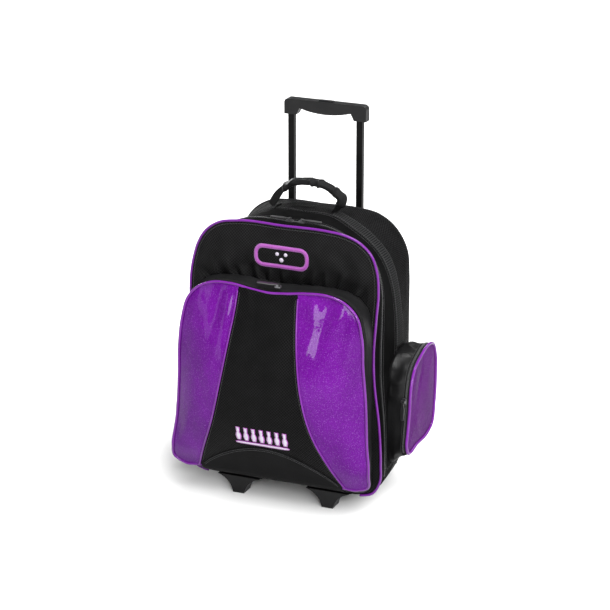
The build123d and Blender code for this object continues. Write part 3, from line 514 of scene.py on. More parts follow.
add_finish(soft_plastic, "pull_black", (0.010, 0.010, 0.0104), 0.28, 500.0, 0.06, 0.6, Coat_Weight=0.4)
add_finish(soft_plastic, "tube_black", (0.002, 0.002, 0.0019), 0.3, 1200.0, 0.02, 0.2, IOR=1.14)
add_finish(soft_plastic, "steel", (0.42, 0.42, 0.43), 0.28, 300.0, 0.02, 0.4, Metallic=1.0)
add_finish(soft_plastic, "tyre_black", (0.017, 0.017, 0.018), 0.75, 500.0, 0.15)
add_finish(soft_plastic, "hub_grey", (0.085, 0.087, 0.09), 0.5, 600.0, 0.06)
add_finish(thread_paint, "thread_purple", (0.10, 0.003, 0.12), (0.19, 0.010, 0.20))
add_finish(thread_paint, "thread_plum", (0.08, 0.006, 0.10), (0.15, 0.03, 0.17))
add_finish(thread_paint, "thread_lilac", (0.22, 0.19, 0.25), (0.33, 0.30, 0.36))
add_finish(soft_plastic, "stitch_grey", (0.026, 0.026, 0.027), 0.6, 800.0, 0.05)
add_finish(soft_plastic, "stitch_black", (0.020, 0.020, 0.021), 0.6, 800.0, 0.05)


def dress_cad_nodes():
    """Each CAD node that stays visible gets its detailed material."""
    for name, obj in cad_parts.items():
        for index, old in enumerate(obj.data.materials):
            wanted = "pull_black" if name.startswith("pull_") else old.name.split(".")[0]
            obj.data.materials[index] = MATERIALS.get(wanted, MATERIALS["moulded_black"])


# ---------------------------------------------------------------- the bag's outlines

FRONT = [(0, 37), (110, 37), (162, 37), (192, 46), (206, 70), (208, 110), (204, 190), (193, 280),
         (191.5, 340), (196, 410), (200, 465), (196, 510), (184, 541), (160, 562), (125, 574), (95, 577),
         (0, 577)]
FRONT_LEFT = FRONT[:9] + [(199, 415), (197, 456), (190, 493), (180, 523), (163, 549), (136, 568), (97, 576),
                          (0, 577)]
CREST = [(0, 37), (110, 37), (158, 38), (185, 47), (197, 70), (199, 110), (199, 190), (198, 280), (199, 340),
         (196, 400), (191, 438), (181, 473), (163, 507), (138, 532), (108, 552), (67, 574), (0, 578)]
REAR = [(0, 40), (110, 40), (148, 41), (170, 49), (183, 68), (185, 110), (185, 190), (185, 280), (185, 340),
        (185, 395), (184.5, 440), (180, 487), (168, 514), (147, 539), (118, 556), (75, 563), (0, 563)]
FRONT_LOOP, CREST_LOOP, REAR_LOOP = loop(FRONT, FRONT_LEFT), loop(CREST), loop(REAR)
COUNT = len(FRONT_LOOP)


def bag(places, y, lift=0.0):
    """Point on the bag's outside at a place round its outline and a depth y, raised by lift."""
    places, y, lift = np.broadcast_arrays(*(np.asarray(v, float) for v in (places, y, lift)))
    t = y / CREST_Y
    shares = ((t - 1) * (t - 2) / 2, -t * (t - 2), t * (t - 1) / 2)

    def at(place):
        outlines = (FRONT_LOOP, CREST_LOOP, REAR_LOOP)
        return sum(s[..., None] * curve(k, place, True) for s, k in zip(shares, outlines))

    here = at(places)
    along = at(places + 0.02) - at(places - 0.02)
    along /= np.maximum(np.linalg.norm(along, axis=-1, keepdims=True), 1e-9)
    return np.stack([here[..., 0] + lift * along[..., 1], y, here[..., 1] - lift * along[..., 0]], -1)


def outward(places, y):
    """Direction straight out of the bag's side wall."""
    return bag(places, y, 1.0) - bag(places, y, 0.0)


def place_at(half_x, z, y, side=1):
    """Place on the outline nearest to a given x and z, on the right (1) or left (-1)."""
    places = np.linspace(0, COUNT / 2, 800)
    p = bag(places, y)
    best = places[np.argmin((p[:, 0] - half_x) ** 2 + (p[:, 2] - z) ** 2)]
    return best if side > 0 else COUNT - best


def band(name, a, b, depths, body, finish, lift, n=360, keep=None, **more):
    """Strip of the bag's side wall between two places and over a range of depths."""
    places = evenly(FRONT_LOOP, a, b, n, True)
    p, y = np.meshgrid(places, np.asarray(depths, float), indexing="xy")
    grid = bag(p, y, lift(p, y) if callable(lift) else lift)
    run = lengths(bag(places, 60.0))
    uv = np.stack([np.broadcast_to(run, p.shape), y], -1)
    return sheet_mesh(name, grid, body, finish, uv, keep=keep, flip=True, **more)


def face_patch(outline, y, inset, n, m):
    """Grid over the whole face that an outline of the bag encloses at a depth."""
    def edge(a, b, count):
        return bag(evenly(outline, a, b, count, True), y, -inset)

    low, high = 3, 12.5
    return patch(edge(COUNT - low, COUNT + low, n), edge(COUNT - high, high, n),
                 edge(COUNT - low, COUNT - high, m), edge(low, high, m))


def outside_wheel_room(centres):
    """False for faces in the lower back corners that the wheel housings fill."""
    x, y, z = np.abs(centres[:, 0]), centres[:, 1], centres[:, 2]
    return ~((x > 123.5) & (x < 156.5) & (y > 158) & (z < 71))


# ---------------------------------------------------------------- side walls

ZIP_RIGHT = place_at(206, ZIP_LOW, ZIP_Y)
ZIP_LEFT = COUNT - ZIP_RIGHT


def creases(points, seed, size=34.0, depth=1.6):
    """Soft crumples, longer down the cloth than across it."""
    q = np.asarray(points, float) * (1.0, 1.0, 0.45)
    ridge = 1 - np.abs(wobble(q, size, seed))
    return depth * (ridge**3 - 0.35) + 0.5 * depth * wobble(points, 2.2 * size, seed + 3)


def plain_lift(p, y):
    """Loose cloth between the zip and the seam."""
    inner = smooth(y, 36, 48) * (1 - smooth(y, 90, 100))
    base = bag(p, y)
    puff = 1.5 * inner * (0.6 + 0.4 * wobble(base, 90.0, 2))
    valley = -1.6 * smooth(y, 93, 100)
    return puff + inner * creases(base, 5, 30.0, 0.9) * smooth(base[..., 2], 60, 120) + valley


def dobby_lift(p, y):
    """Loose cloth between the seam and the back edge."""
    inner = smooth(y, 100, 112) * (1 - smooth(y, 192, 207))
    base = bag(p, y)
    puff = 1.0 * inner + 1.6 * inner * wobble(base, 80.0, 4)
    edge = -3.5 * smooth(y, 201, 209) ** 2 - 1.6 * (1 - smooth(y, 100, 106))
    return puff + inner * creases(base, 9, 42.0, 1.3) + edge


def build_walls():
    """The two side walls, the band in front of the main zip, the zip, and the seams' stitches."""
    band("side_wall_front", 0, COUNT, np.linspace(36, SEAM_Y, 24), "bag_shell", "plain_black", plain_lift,
         420, hides=("zip_gusset",))
    rear_depths = np.concatenate([np.linspace(SEAM_Y, 196, 30), np.linspace(199, 209, 7)])
    band("side_wall_rear", 0, COUNT, rear_depths, "bag_shell", "dobby_black", dobby_lift, 420,
         outside_wheel_room, hides=("rear_gusset",))
    band("front_edge_band", ZIP_RIGHT, ZIP_LEFT, np.linspace(2.0, 24.5, 8), "lid", "plain_black",
         lambda p, y: -0.8 + 0.7 * np.sin(math.pi * np.clip((y - 2) / 22.5, 0, 1)), hides=("front_gusset",))
    for name, depths, body, hidden in (
            ("zip_tape_lid", (23.5, 24.3, 26.5, 29.4), "lid", "zip_tape_front"),
            ("zip_tape_body", (30.6, 33.5, 35.7, 36.5), "bag_shell", "zip_tape_rear")):
        band(name, ZIP_RIGHT, ZIP_LEFT, depths, body, "zip_black", -0.9, thick=0.9, hides=(hidden,))
    places = evenly(FRONT_LOOP, ZIP_RIGHT, ZIP_LEFT, 900, True)
    path = bag(places, ZIP_Y, -0.4)
    zip_teeth("zip_teeth_lid", path, outward(places, ZIP_Y), 1, "lid")
    zip_teeth("zip_teeth_body", path, outward(places, ZIP_Y), -1, "bag_shell")
    corner = band("lower_fold", ZIP_LEFT - COUNT, ZIP_RIGHT, np.linspace(2.0, 37, 14), None, "plain_black",
                  -0.8, 200)
    join(corner)
    for start, tag in ((ZIP_RIGHT, "right"), (ZIP_LEFT, "left")):
        for y in (39.0, 96.5, 104.5):
            spots = evenly(FRONT_LOOP, start, COUNT / 2, 500, True)
            lift = (plain_lift if y < SEAM_Y else dobby_lift)(spots, np.full_like(spots, y))
            line = bag(spots, y, lift + 0.1)
            stitches(f"seam_stitches_{int(y)}_{tag}", line, outward(spots, y), "bag_shell")


def base_wrap():
    """Smooth hard-wearing cloth round the bottom, sewn over the side walls."""
    top = 86
    a, b = place_at(200, top, CREST_Y, -1) - COUNT, place_at(200, top, CREST_Y)
    band("base_wrap", a, b, np.concatenate([np.linspace(37, 200, 34), [204, 207]]), "bag_shell", "base_black",
         0.9, 240, outside_wheel_room, thick=2.4)
    for side, end in ((1, "right"), (-1, "left")):
        depths = np.linspace(38, 203, 200)
        for inset, tag in ((1.6, "a"), (5.2, "b")):
            place = place_at(200, top - inset, CREST_Y, side)
            stitches(f"base_stitches_{tag}_{end}", bag(place, depths, 1.0), (side, 0, 0), "bag_shell")


def build_straps():
    """Ribbed webbing from the handle's feet over both shoulders, down to the side pockets."""
    half_width, middle_y, rib_pitch = 17.5, 118.5, 4.6
    end, start = place_at(198, 322, 115), place_at(60, 577, 115)
    rows = np.linspace(-half_width, half_width, 15)
    for side, tag in ((1, "right"), (-1, "left")):
        places = evenly(FRONT_LOOP, start, end, 1100, True)
        if side < 0:
            places = COUNT - places
        run = lengths(bag(places, 118.0))
        rib = np.abs(np.sin(math.pi * run / rib_pitch)) ** 0.7
        depth = middle_y + 1.5 * np.sin(run / 45)
        grid = []
        for offset in rows:
            ribbed_part = smooth(offset, -12, -9.5) * (1 - smooth(offset, 15, 17))
            height = 1.9 - 0.8 * (abs(offset) / half_width) ** 6 + 1.1 * ribbed_part * rib
            y = depth + offset
            grid.append(bag(places, y, np.maximum(dobby_lift(places, y), 0.2) + height))
        uv = np.stack(np.broadcast_arrays(run[None], rows[:, None]), -1)
        sheet_mesh(f"shoulder_webbing_{tag}", np.array(grid), "bag_shell", "webbing_black", uv, thick=2.0,
                   hides=("webbing_straps",) if side > 0 else (), flip=side < 0)
        for index, offset in enumerate((-14.5, 15.8)):
            y = depth + offset
            line = bag(places, y, np.maximum(dobby_lift(places, y), 0.2) + 2.0)
            stitches(f"webbing_stitches_{index}_{tag}", line, outward(places, y), "bag_shell",
                     slot="webbing_black")


def build_main_piping():
    """Piping round the front panel, and the stitches inside it."""
    start = place_at(165, 37, 0)
    path = bag(evenly(FRONT_LOOP, start, COUNT - start, 420, True), 0.0, 0.5)
    path[:, 1] += 0.7 * wobble(path, 60.0, 21)
    tube("main_welt", path, 2.5, "lid", "piping_purple", hides=("main_piping",))
    spots = evenly(FRONT_LOOP, place_at(190, 300, 0), place_at(190, 300, 0, -1), 700, True)
    stitches("panel_stitches", on_cloth(bag(spots, 0.0, -6.0)[:, ::2], panel_y, 0.1), (0, -1, 0), "lid",
             "stitch_grey")


# ---------------------------------------------------------------- front panel

def fan(x, z):
    """Folds that spread upwards from the top of the front pocket."""
    total = np.zeros_like(x)
    rng = np.random.default_rng(7)
    for index in range(26):
        foot = -185 + 370 * (index + rng.uniform(0.15, 0.85)) / 26
        lean = math.radians(0.16 * foot + rng.uniform(-14, 14))
        reach = rng.uniform(26, 62)
        width = rng.uniform(3.2, 6.5)
        size = rng.uniform(3.6, 6.6) * (1 if index % 2 else -0.7)
        base = 464 - 34 * smooth(abs(foot), 120, 190)
        along = (x - foot) * math.sin(lean) + (z - base) * math.cos(lean)
        across = (x - foot) * math.cos(lean) - (z - base) * math.sin(lean)
        spread = width * (1 + 0.6 * np.clip(along / reach, 0, 1))
        taper = smooth(along, -20, 6) * (1 - smooth(along, 0.35 * reach, reach))
        total += size * np.exp(-((across / spread) ** 2)) * taper
    return total


PANEL_EDGE = curve(FRONT_LOOP, np.linspace(0, COUNT, 400), True)


def outline_gap(x, z):
    """Distance from points on the front panel to its edge."""
    gap = np.full(np.shape(x), 1e9)
    for edge_x, edge_z in PANEL_EDGE:
        gap = np.minimum(gap, (x - edge_x) ** 2 + (z - edge_z) ** 2)
    return np.sqrt(gap)


def panel_y(x, z):
    """Depth of the front panel's cloth."""
    x, z = np.asarray(x, float), np.asarray(z, float)
    edge = smooth(outline_gap(x, z), 2, 36)
    bulge = 5.5 * edge * (0.3 + 0.7 * smooth(z, 440, 500))
    points = np.stack([x, 0 * x, z], -1)
    upper = smooth(z, 425, 462) * edge
    swell = 6.0 * np.exp(-(((x - 96) / 60) ** 2) - ((z - 500) / 42) ** 2)
    slow = swell + 4.0 * wobble(points, 80.0, 31) + 2.6 * wobble(points, 36.0, 32) + wobble(points, 17.0, 33)
    badge_room = 1 - np.exp(-(((x / 72) ** 4) + ((z - 515) / 34) ** 4)) * 0.85
    return -1.2 - bulge - upper * badge_room * (fan(x, z) + slow)


def build_front_panel():
    """Cloth of the whole front, behind the pocket and up to the crest."""
    grid = face_patch(FRONT_LOOP, 0.0, 0.6, 150, 190)
    grid[..., 2] += 4.0 * (1 - smooth(grid[..., 2], 37, 72))
    grid[..., 1] = panel_y(grid[..., 0], grid[..., 2])
    sheet_mesh("front_cloth", grid, "lid", "dobby_front", grid[..., ::2], thick=1.6, hides=("front_panel",))


def rounded_frame(half_x, half_z, radius, centre_z, n=120):
    """Even points round a rounded rectangle, as x and z."""
    points = []
    for k in range(4):
        cx = (half_x - radius) * (1 if k in (0, 3) else -1)
        cz = (half_z - radius) * (1 if k in (0, 1) else -1)
        for step in range(7):
            a = math.pi / 2 * (k + step / 6)
            points.append((cx + radius * math.cos(a), centre_z + cz + radius * math.sin(a)))
    points.append(points[0])
    p = np.array(points)
    run = lengths(p)
    goal = np.linspace(0, run[-1], n, endpoint=False)
    return np.stack([np.interp(goal, run, p[:, k]) for k in range(2)], 1)


def on_cloth(flat, depth, lift):
    """Points that lie over a cloth surface given by its depth function."""
    return np.stack([flat[:, 0], depth(flat[:, 0], flat[:, 1]) - lift, flat[:, 1]], 1)


def build_badge():
    """Embroidered frame with three dots like the finger holes of a ball."""
    half_x, half_z, radius, middle = 54.5, 19, 15, 515
    line = on_cloth(rounded_frame(half_x, half_z, radius, middle), panel_y, 0.5)
    tube("badge_frame", line, 3.4, "lid", "thread_purple", True, section=ring_shape(14, 1.0, 0.34),
         hides=("badge",))
    for index, shift in enumerate((3.7, -3.7)):
        line = on_cloth(rounded_frame(half_x + shift, half_z + shift, radius + shift, middle), panel_y, 0.5)
        tube(f"badge_line_{index}", line, 0.5, "lid", "thread_plum", True, section=ring_shape(8))
    for index, (x, z, r) in enumerate(((0, 509, 4.4), (-9, 520.5, 3.8), (9, 520.5, 3.8))):
        rings = []
        for share in np.linspace(1.0, 0.04, 7):
            height = 0.1 + 0.9 * math.sqrt(1 - share * share * 0.98)
            rings.append(on_cloth((x, z) + share * r * ring_shape(24), panel_y, height))
        sheet_mesh(f"badge_dot_{index}", np.array(rings), "lid", "thread_lilac", None, True, 0.4)


# ---------------------------------------------------------------- front pocket

RIM = [(152, 73), (184, 74), (206, 84), (212, 112), (209, 180), (206, 265), (200, 340), (197, 398),
       (185, 438), (160, 461), (124, 472), (80, 471), (36, 465), (0, 462)]
RIM_LEFT = [(152, 74), (190, 72), (212, 85), (209, 115), (198, 180), (192, 265), (189.5, 340), (182, 393),
            (170, 433), (150, 455), (122, 468), (80, 471), (36, 465), (0, 462)]
ROOT = [(150, 43), (172, 44), (187, 55), (190, 90), (190, 180), (190, 265), (190, 340), (189, 398),
        (177, 437), (152, 457), (118, 465), (80, 466), (36, 463), (0, 461)]
SEAM = [(158, 72), (135, 125), (106, 197), (86, 277), (74.5, 347), (65.5, 425), (63, 474)]
CROWN = [(-57, 70), (-86, 125), (-109, 197), (-115, 277), (-105, 347), (-83, 425), (-69, 474)]


def open_loop(half, left=None):
    """Outline from the bottom right over the top to the bottom left."""
    return list(half) + [(-x, z) for x, z in reversed((left or half)[:-1])]


RIM_PATH, ROOT_PATH = open_loop(RIM, RIM_LEFT), open_loop(ROOT)
RIM_TOP, RIM_END = len(RIM) - 1, len(RIM_PATH) - 1
LOW_Z = 72
# The place on the rim where the vinyl meets the centre panel.
MEET = 11.4


def rim_y(z):
    """Depth of the piping round the pocket's face."""
    return -57 - 18 * smooth(z, 72, 125) + 6 * smooth(z, 395, 470)


def pocket_wall(places, share):
    """Point on the front pocket's side wall, from the panel behind (0) to the piping (1)."""
    places, share = np.broadcast_arrays(np.asarray(places, float), np.asarray(share, float))
    root, rim = curve(ROOT_PATH, places), curve(RIM_PATH, places)
    y = -1.6 + (rim_y(rim[..., 1]) + 1.6) * share
    flat = root + (rim - root) * share[..., None]
    return np.stack([flat[..., 0], y, flat[..., 1]], -1)


SEAM_PLACES = np.linspace(0, len(SEAM) - 1, 400)
SEAM_CURVE = curve(SEAM, SEAM_PLACES)
CROWN_CURVE = curve(CROWN, SEAM_PLACES)
RIM_SIDES = [curve(half, np.linspace(2, 11, 500)) for half in (RIM, RIM_LEFT)]


def seam_x(z):
    """Half width of the centre panel at a height."""
    return np.interp(z, SEAM_CURVE[:, 1], SEAM_CURVE[:, 0])


def rim_x(x, z):
    """Half width of the pocket's front edge at a height, on the side that x is on."""
    right, left = (np.interp(z, p[:, 1], np.maximum.accumulate(p[::-1, 0])[::-1]) for p in RIM_SIDES)
    return np.where(x < 0, left, right)


def crown_y(x, z):
    """Depth of the front pocket's crowned face."""
    x, z = np.asarray(x, float), np.asarray(z, float)
    half, seam = rim_x(x, z), seam_x(z)
    edge, ridge = rim_y(z), np.interp(z, CROWN_CURVE[:, 1], CROWN_CURVE[:, 0])
    across = np.clip((half - np.abs(x)) / np.maximum(half - seam, 1), 0, 1)
    side = edge + (ridge - edge) * (1 - (1 - across) ** 1.8)
    hollow = 3.0 * (1 - np.clip(np.abs(x) / seam, 0, 1) ** 2)
    middle = ridge - hollow * smooth(z, 90, 150) * (1 - smooth(z, 430, 468))
    return np.where(np.abs(x) > seam, side, middle)


def bump_at(x, z, cx, cz, angle, long, wide, size):
    """Smooth ridge (or dent) centred at a point, stretched along an angle from the vertical."""
    a = math.radians(angle)
    along = (x - cx) * math.sin(a) + (z - cz) * math.cos(a)
    across = (x - cx) * math.cos(a) - (z - cz) * math.sin(a)
    return size * np.exp(-((along / long) ** 2) - (across / wide) ** 2)


# Folds on the right (1) and the left (-1), each with its x, z, angle, length, width and height.
VINYL_FOLDS = {
    1: [(150, 430, 22, 46, 13, 2.4), (118, 400, 14, 60, 12, -2.0), (176, 380, 6, 70, 14, 1.4),
        (96, 440, -6, 26, 9, 1.6), (178, 120, 35, 40, 16, 1.8), (150, 200, 12, 70, 20, -1.2)],
    -1: [(-84, 430, 6, 50, 11, 1.8), (-106, 410, 10, 60, 12, -1.5), (-150, 440, -30, 30, 14, 1.2),
         (-178, 360, -4, 60, 13, -1.4), (-170, 180, 24, 42, 11, 2.2), (-190, 150, 30, 36, 9, -2.0),
         (-150, 120, 50, 34, 10, 1.6), (-125, 250, -18, 60, 14, -1.2)],
}


def vinyl_y(x, z, side):
    """Depth of the pocket's vinyl on one side."""
    x, z = np.asarray(x, float), np.asarray(z, float)
    half, seam = rim_x(x, z), seam_x(z)
    across = np.clip((half - np.abs(x)) / np.maximum(half - seam, 1), 0, 1)
    hold = smooth(across, 0.0, 0.22) * (1 - smooth(across, 0.86, 1.0))
    hold = hold * smooth(z, 78, 100) * (1 - smooth(z, 452, 472))
    points = np.stack([x, 0 * x, z * 0.6], -1)
    waves = 1.3 * wobble(points, 52.0, 40 + side) + 0.4 * wobble(points, 24.0, 43 + side)
    for fold in VINYL_FOLDS[side]:
        waves = waves + bump_at(x, z, *fold)
    tuck = -1.2 * (1 - smooth(across, 0.0, 0.06))
    return crown_y(x, z) - hold * waves - tuck


def centre_y(x, z):
    """Depth of the pocket's centre cloth."""
    x, z = np.asarray(x, float), np.asarray(z, float)
    points = np.stack([x, 0 * x, z], -1)
    hold = (1 - smooth(np.abs(x) / seam_x(z), 0.75, 1.0)) * smooth(z, 90, 120)
    dip = (bump_at(x, z, 10, 452, 0, 22, 30, 2.2) - bump_at(x, z, -38, 440, -10, 34, 9, 1.8)
           + bump_at(x, z, 40, 445, 14, 30, 10, 1.6))
    return crown_y(x, z) - hold * (1.0 * wobble(points, 60.0, 51) + 0.5 * wobble(points, 28.0, 52) - dip)


def half_edge(half, a, b, n, side):
    """Even points on half an outline, mirrored on the left."""
    p = curve(half, evenly(half, a, b, n))
    return np.stack([side * p[:, 0], p[:, 1]], 1)


def build_pocket_faces():
    """Vinyl on either side of the pocket, with its welt and the stitches beside it."""
    n, m, corner, top_end = 70, 170, 1.8, 8.6
    pull = np.linspace(0, 1, m)[:, None]
    for side, tag, rim in ((1, "right", RIM), (-1, "left", RIM_LEFT)):
        inner = half_edge(SEAM, 0, len(SEAM) - 1.05, m, side)
        outer = half_edge(rim, corner, top_end, m, side)
        top = half_edge(rim, MEET, top_end, n, side)
        inner = inner + (top[0] - inner[-1]) * pull**6
        low = half_edge(rim, 0.12, corner, n, side)
        inner = inner + (low[0] - inner[0]) * pull[::-1] ** 6
        flat = patch(low, top, inner, outer)
        y = vinyl_y(flat[..., 0], flat[..., 1], side)
        grid = np.stack([flat[..., 0], y, flat[..., 1]], -1)
        sheet_mesh(f"vinyl_{tag}", grid, "pocket_flap", "vinyl_purple", flat, thick=1.6, flip=side < 0,
                   hides=("pocket_side_panels",))
        welt = half_edge(SEAM, 0.02, len(SEAM) - 1.3, 220, side)
        tube(f"seam_welt_{tag}", on_cloth(welt, crown_y, 1.1), 1.7, "pocket_flap", "piping_purple",
             hides=("seam_welts",))
        stitches(f"seam_stitches_{tag}", on_cloth(welt - (side * 5.0, 0), centre_y, 0.15), (0, -1, 0),
                 "pocket_flap", "stitch_grey")


def centre_under(share, x_share):
    """The centre panel's lower end, which slopes back under the bag between the feet."""
    path = [(-57, 72, 157), (-50, 65, 158), (-36, 57, 157), (-18, 49.5, 154), (-3.5, 43.5, 150)]
    p = curve(path, share * (len(path) - 1))
    return np.stack([p[..., 2] * x_share, p[..., 0], p[..., 1]], -1)


def build_centre_panel():
    """Cloth between the two vinyl sides, down to the foot of the bag."""
    rows, columns = 190, 90
    top_edge = curve(RIM_PATH, evenly(RIM_PATH, 2 * RIM_TOP - MEET, MEET, columns))
    low_edge = np.stack([np.linspace(-158, 158, columns), np.full(columns, LOW_Z)], 1)
    left, right = (half_edge(SEAM, 0, len(SEAM) - 1.05, rows, s) for s in (-1, 1))
    blend = np.linspace(0, 1, rows)[:, None] ** 6
    left = left + (top_edge[0] - left[-1]) * blend
    right = right + (top_edge[-1] - right[-1]) * blend
    flat = patch(low_edge, top_edge, left, right)
    y = centre_y(flat[..., 0], flat[..., 1])
    shares, sides = np.meshgrid(np.linspace(1, 0, 24)[:-1], np.linspace(-1, 1, columns), indexing="ij")
    grid = np.concatenate([centre_under(shares, sides), np.stack([flat[..., 0], y, flat[..., 1]], -1)])
    up = np.concatenate([LOW_Z - 75 * shares, flat[..., 1]])
    # The centre cloth takes the darker dobby copy, whose colour holds painted shade.
    piece = sheet_mesh("centre_cloth", grid, None, "dobby_centre_shaded", np.stack([grid[..., 0], up], -1),
                       thick=1.6, hides=("pocket_centre_panel",))
    join(piece)


def scuff_top(x):
    """Height of the arched seam above the smooth lower panel."""
    return 84 + 64 * np.cos(np.clip(np.abs(x) / 142, 0, 1) * math.pi / 2) ** 0.85


def build_scuff_panel():
    """Smooth cloth sewn over the pocket's lower centre."""
    x_share = np.linspace(-1, 1, 90)
    x, low = x_share * 152, LOW_Z + 2
    upper = []
    for t in np.linspace(0, 1, 34):
        z = low + (scuff_top(x) - low) * t
        upper.append(np.stack([x, centre_y(x, z) - 1.5, z], 1))
    shares, sides = np.meshgrid(np.linspace(0.97, 0.04, 18), x_share, indexing="ij")
    under = centre_under(shares, sides * 0.965) + (0, -1.2, -1.2)
    piece = sheet_mesh("scuff_cloth", np.concatenate([under, upper]), None, "base_black", None, thick=1.3)
    join(piece)
    for index, inset in enumerate((2.2, 6.4)):
        x = np.linspace(-146, 146, 400)
        flat = np.stack([x, scuff_top(x) - inset], 1)
        stitches(f"scuff_stitches_{index}", on_cloth(flat, centre_y, 1.7), (0, -1, 0), "pocket_flap")


def build_pocket_walls():
    """Side wall of the front pocket with its zip, and the piping round its face."""
    places = evenly(RIM_PATH, 0.0, RIM_END, 420)
    low, high, zip_share = 2.2, RIM_END - 2.2, 0.745

    def strip(name, a, b, shares, body, finish, lift, **more):
        pts = places[(places >= a) & (places <= b)]
        s, p = np.meshgrid(shares, pts, indexing="ij")
        grid = pocket_wall(p, s)
        n = grid_normals(grid)
        sign = np.sign(((grid - grid.mean((0, 1))) * n).sum(-1).mean())
        amount = lift(s, grid) if callable(lift) else lift
        grid = grid + sign * n * np.broadcast_to(amount, s.shape)[..., None]
        run = lengths(pocket_wall(pts, 0.7))
        uv = np.stack(np.broadcast_arrays(run[None], (s * 72)), -1)
        return sheet_mesh(name, grid, body, finish, uv, thick=1.4, flip=sign < 0, **more)

    def slack(s, grid):
        return np.sin(math.pi * np.clip(s / 0.68, 0, 1)) * (creases(grid, 61, 24.0, 1.8) + 1.0)

    strip("pocket_side_cloth", 0, RIM_END, np.linspace(0, 0.69, 16), "lid", "wrap_black", slack,
          hides=("pocket_gusset",))
    strip("pocket_tape_rear", low, high, (0.675, 0.70, 0.735), "lid", "zip_black", 0.5, hides=("pocket_zip",))
    strip("pocket_tape_front", low, high, (0.755, 0.80, 0.84), "pocket_flap", "zip_black", 0.5,
          hides=("flap_band",))
    strip("flap_edge_cloth", low, high, (0.83, 0.88, 0.94, 0.985), "pocket_flap", "plain_black", 0.2)
    for name, a, b in (("pocket_low_right", 0.0, low + 0.05), ("pocket_low_left", high - 0.05, RIM_END)):
        piece = strip(name, a, b, np.linspace(0.675, 0.985, 8), None, "plain_black", 0.3)
        join(piece)
    run = evenly(RIM_PATH, low, high, 800)
    path = pocket_wall(run, zip_share)
    tangent = np.gradient(path, axis=0)
    across = pocket_wall(run, 0.9) - pocket_wall(run, 0.6)
    up = np.cross(across, tangent)
    up /= np.linalg.norm(up, axis=1)[:, None]
    path = path + 0.5 * up
    side = np.cross(tangent / np.linalg.norm(tangent, axis=1)[:, None], up)
    toward_front = np.sign((side * across).sum(1).mean())
    zip_teeth("pocket_teeth_front", path, up, toward_front, "pocket_flap")
    zip_teeth("pocket_teeth_rear", path, up, -toward_front, "lid")
    for index, (share, body) in enumerate(((0.66, "lid"), (0.86, "pocket_flap"))):
        stitches(f"pocket_stitches_{index}", pocket_wall(run, share) + 0.75 * up, up, body)
    rim = curve(RIM_PATH, evenly(RIM_PATH, 0.0, RIM_END, 520))
    edge = np.stack([rim[:, 0], rim_y(rim[:, 1]) - 0.6, rim[:, 1]], 1)
    edge[:, 1] += 0.6 * wobble(edge, 55.0, 71)
    tube("pocket_welt", edge, 2.6, "pocket_flap", "piping_purple", hides=("pocket_piping",))


# ---------------------------------------------------------------- emblem

def pin_half_width(h):
    """Half width of a bowling pin at a height from 0 to 1."""
    shape = [(0, 2.5), (0.12, 3.7), (0.33, 4.9), (0.52, 3.6), (0.66, 2), (0.8, 2.9), (0.9, 3), (1, 0.5)]
    c = curve(shape, np.linspace(0, len(shape) - 1, 200))
    return np.interp(h, c[:, 0], c[:, 1])


def pin(name, x, grow, lift, finish):
    """Embroidered bowling pin on the pocket."""
    height, base = 27.0, 163.0
    across = np.linspace(-1, 1, 9)
    dome = np.sqrt(np.clip(1 - across**4, 0, 1))
    rows = []
    for h in np.linspace(0, 1, 26):
        z = base + (h * (height + 2 * grow) - grow)
        flat = np.stack([x + across * (pin_half_width(h) + grow), np.full(9, z)], 1)
        rows.append(on_cloth(flat, centre_y, 0.15 + lift * dome))
    sheet_mesh(name, np.array(rows), "pocket_flap", finish, None, thick=0.5)


def build_emblem():
    """Row of seven pins over a bar."""
    for index in range(7):
        x = 16.5 * (index - 3)
        pin(f"pin_edge_{index}", x, 1.5, 0.6, "thread_purple")
        pin(f"pin_{index}", x, 0.0, 1.2, "thread_lilac")
    u = np.linspace(-1, 1, 60)
    for name, half, high, lift, finish, hides in (
            ("emblem_baredge", 58, 3.4, 0.6, "thread_purple", ("emblem",)),
            ("emblem_bar", 56, 2.0, 1.2, "thread_lilac", ())):
        rows = []
        for v in np.linspace(-1, 1, 7):
            flat = np.stack([u * half, 156.0 + v * high * np.sqrt(np.clip(1 - u**12, 0, 1))], 1)
            rows.append(on_cloth(flat, centre_y, 0.15 + lift * math.sqrt(max(0, 1 - v**4))))
        sheet_mesh(name, np.array(rows), "pocket_flap", finish, None, thick=0.5, hides=hides)


# ---------------------------------------------------------------- side pockets

SIDE_RIM = [(40, 127), (34, 140), (40, 172), (48, 215), (53, 255), (70, 288), (112, 309), (150, 317),
            (177, 310), (191, 286), (195, 240), (190, 186), (176, 139), (150, 128), (95, 126)]
SIDE_ROOT = [(62, 92), (54, 104), (49, 150), (48, 205), (55, 250), (64, 288), (95, 308), (135, 312),
             (168, 303), (184, 280), (189, 235), (187, 180), (172, 125), (146, 92), (100, 88)]


SIDE_FACE_X = 250
SIDE_MIDDLE = np.array([118.0, 220.0])


def side_wall(places, share, side):
    """Point on a side pocket's wall, from the bag (0) to its outer panel (1)."""
    places, share = np.broadcast_arrays(np.asarray(places, float), np.asarray(share, float))
    root, rim = curve(SIDE_ROOT, places, True), curve(SIDE_RIM, places, True)
    t = root[..., 0] / CREST_Y
    root_x = 201 * (t - 1) * (t - 2) / 2 - 198.5 * t * (t - 2) + 185 * t * (t - 1) / 2 - 2.0
    x = root_x + (SIDE_FACE_X - root_x) * share
    flat = root + (rim - root) * share[..., None]
    return np.stack([side * x, flat[..., 0], flat[..., 1]], -1)


def away(grid):
    """Directions from the middle of the side pocket to its wall."""
    out = grid * (0.0, 1.0, 1.0) - (0, *SIDE_MIDDLE)
    return out / np.linalg.norm(out, axis=-1, keepdims=True)


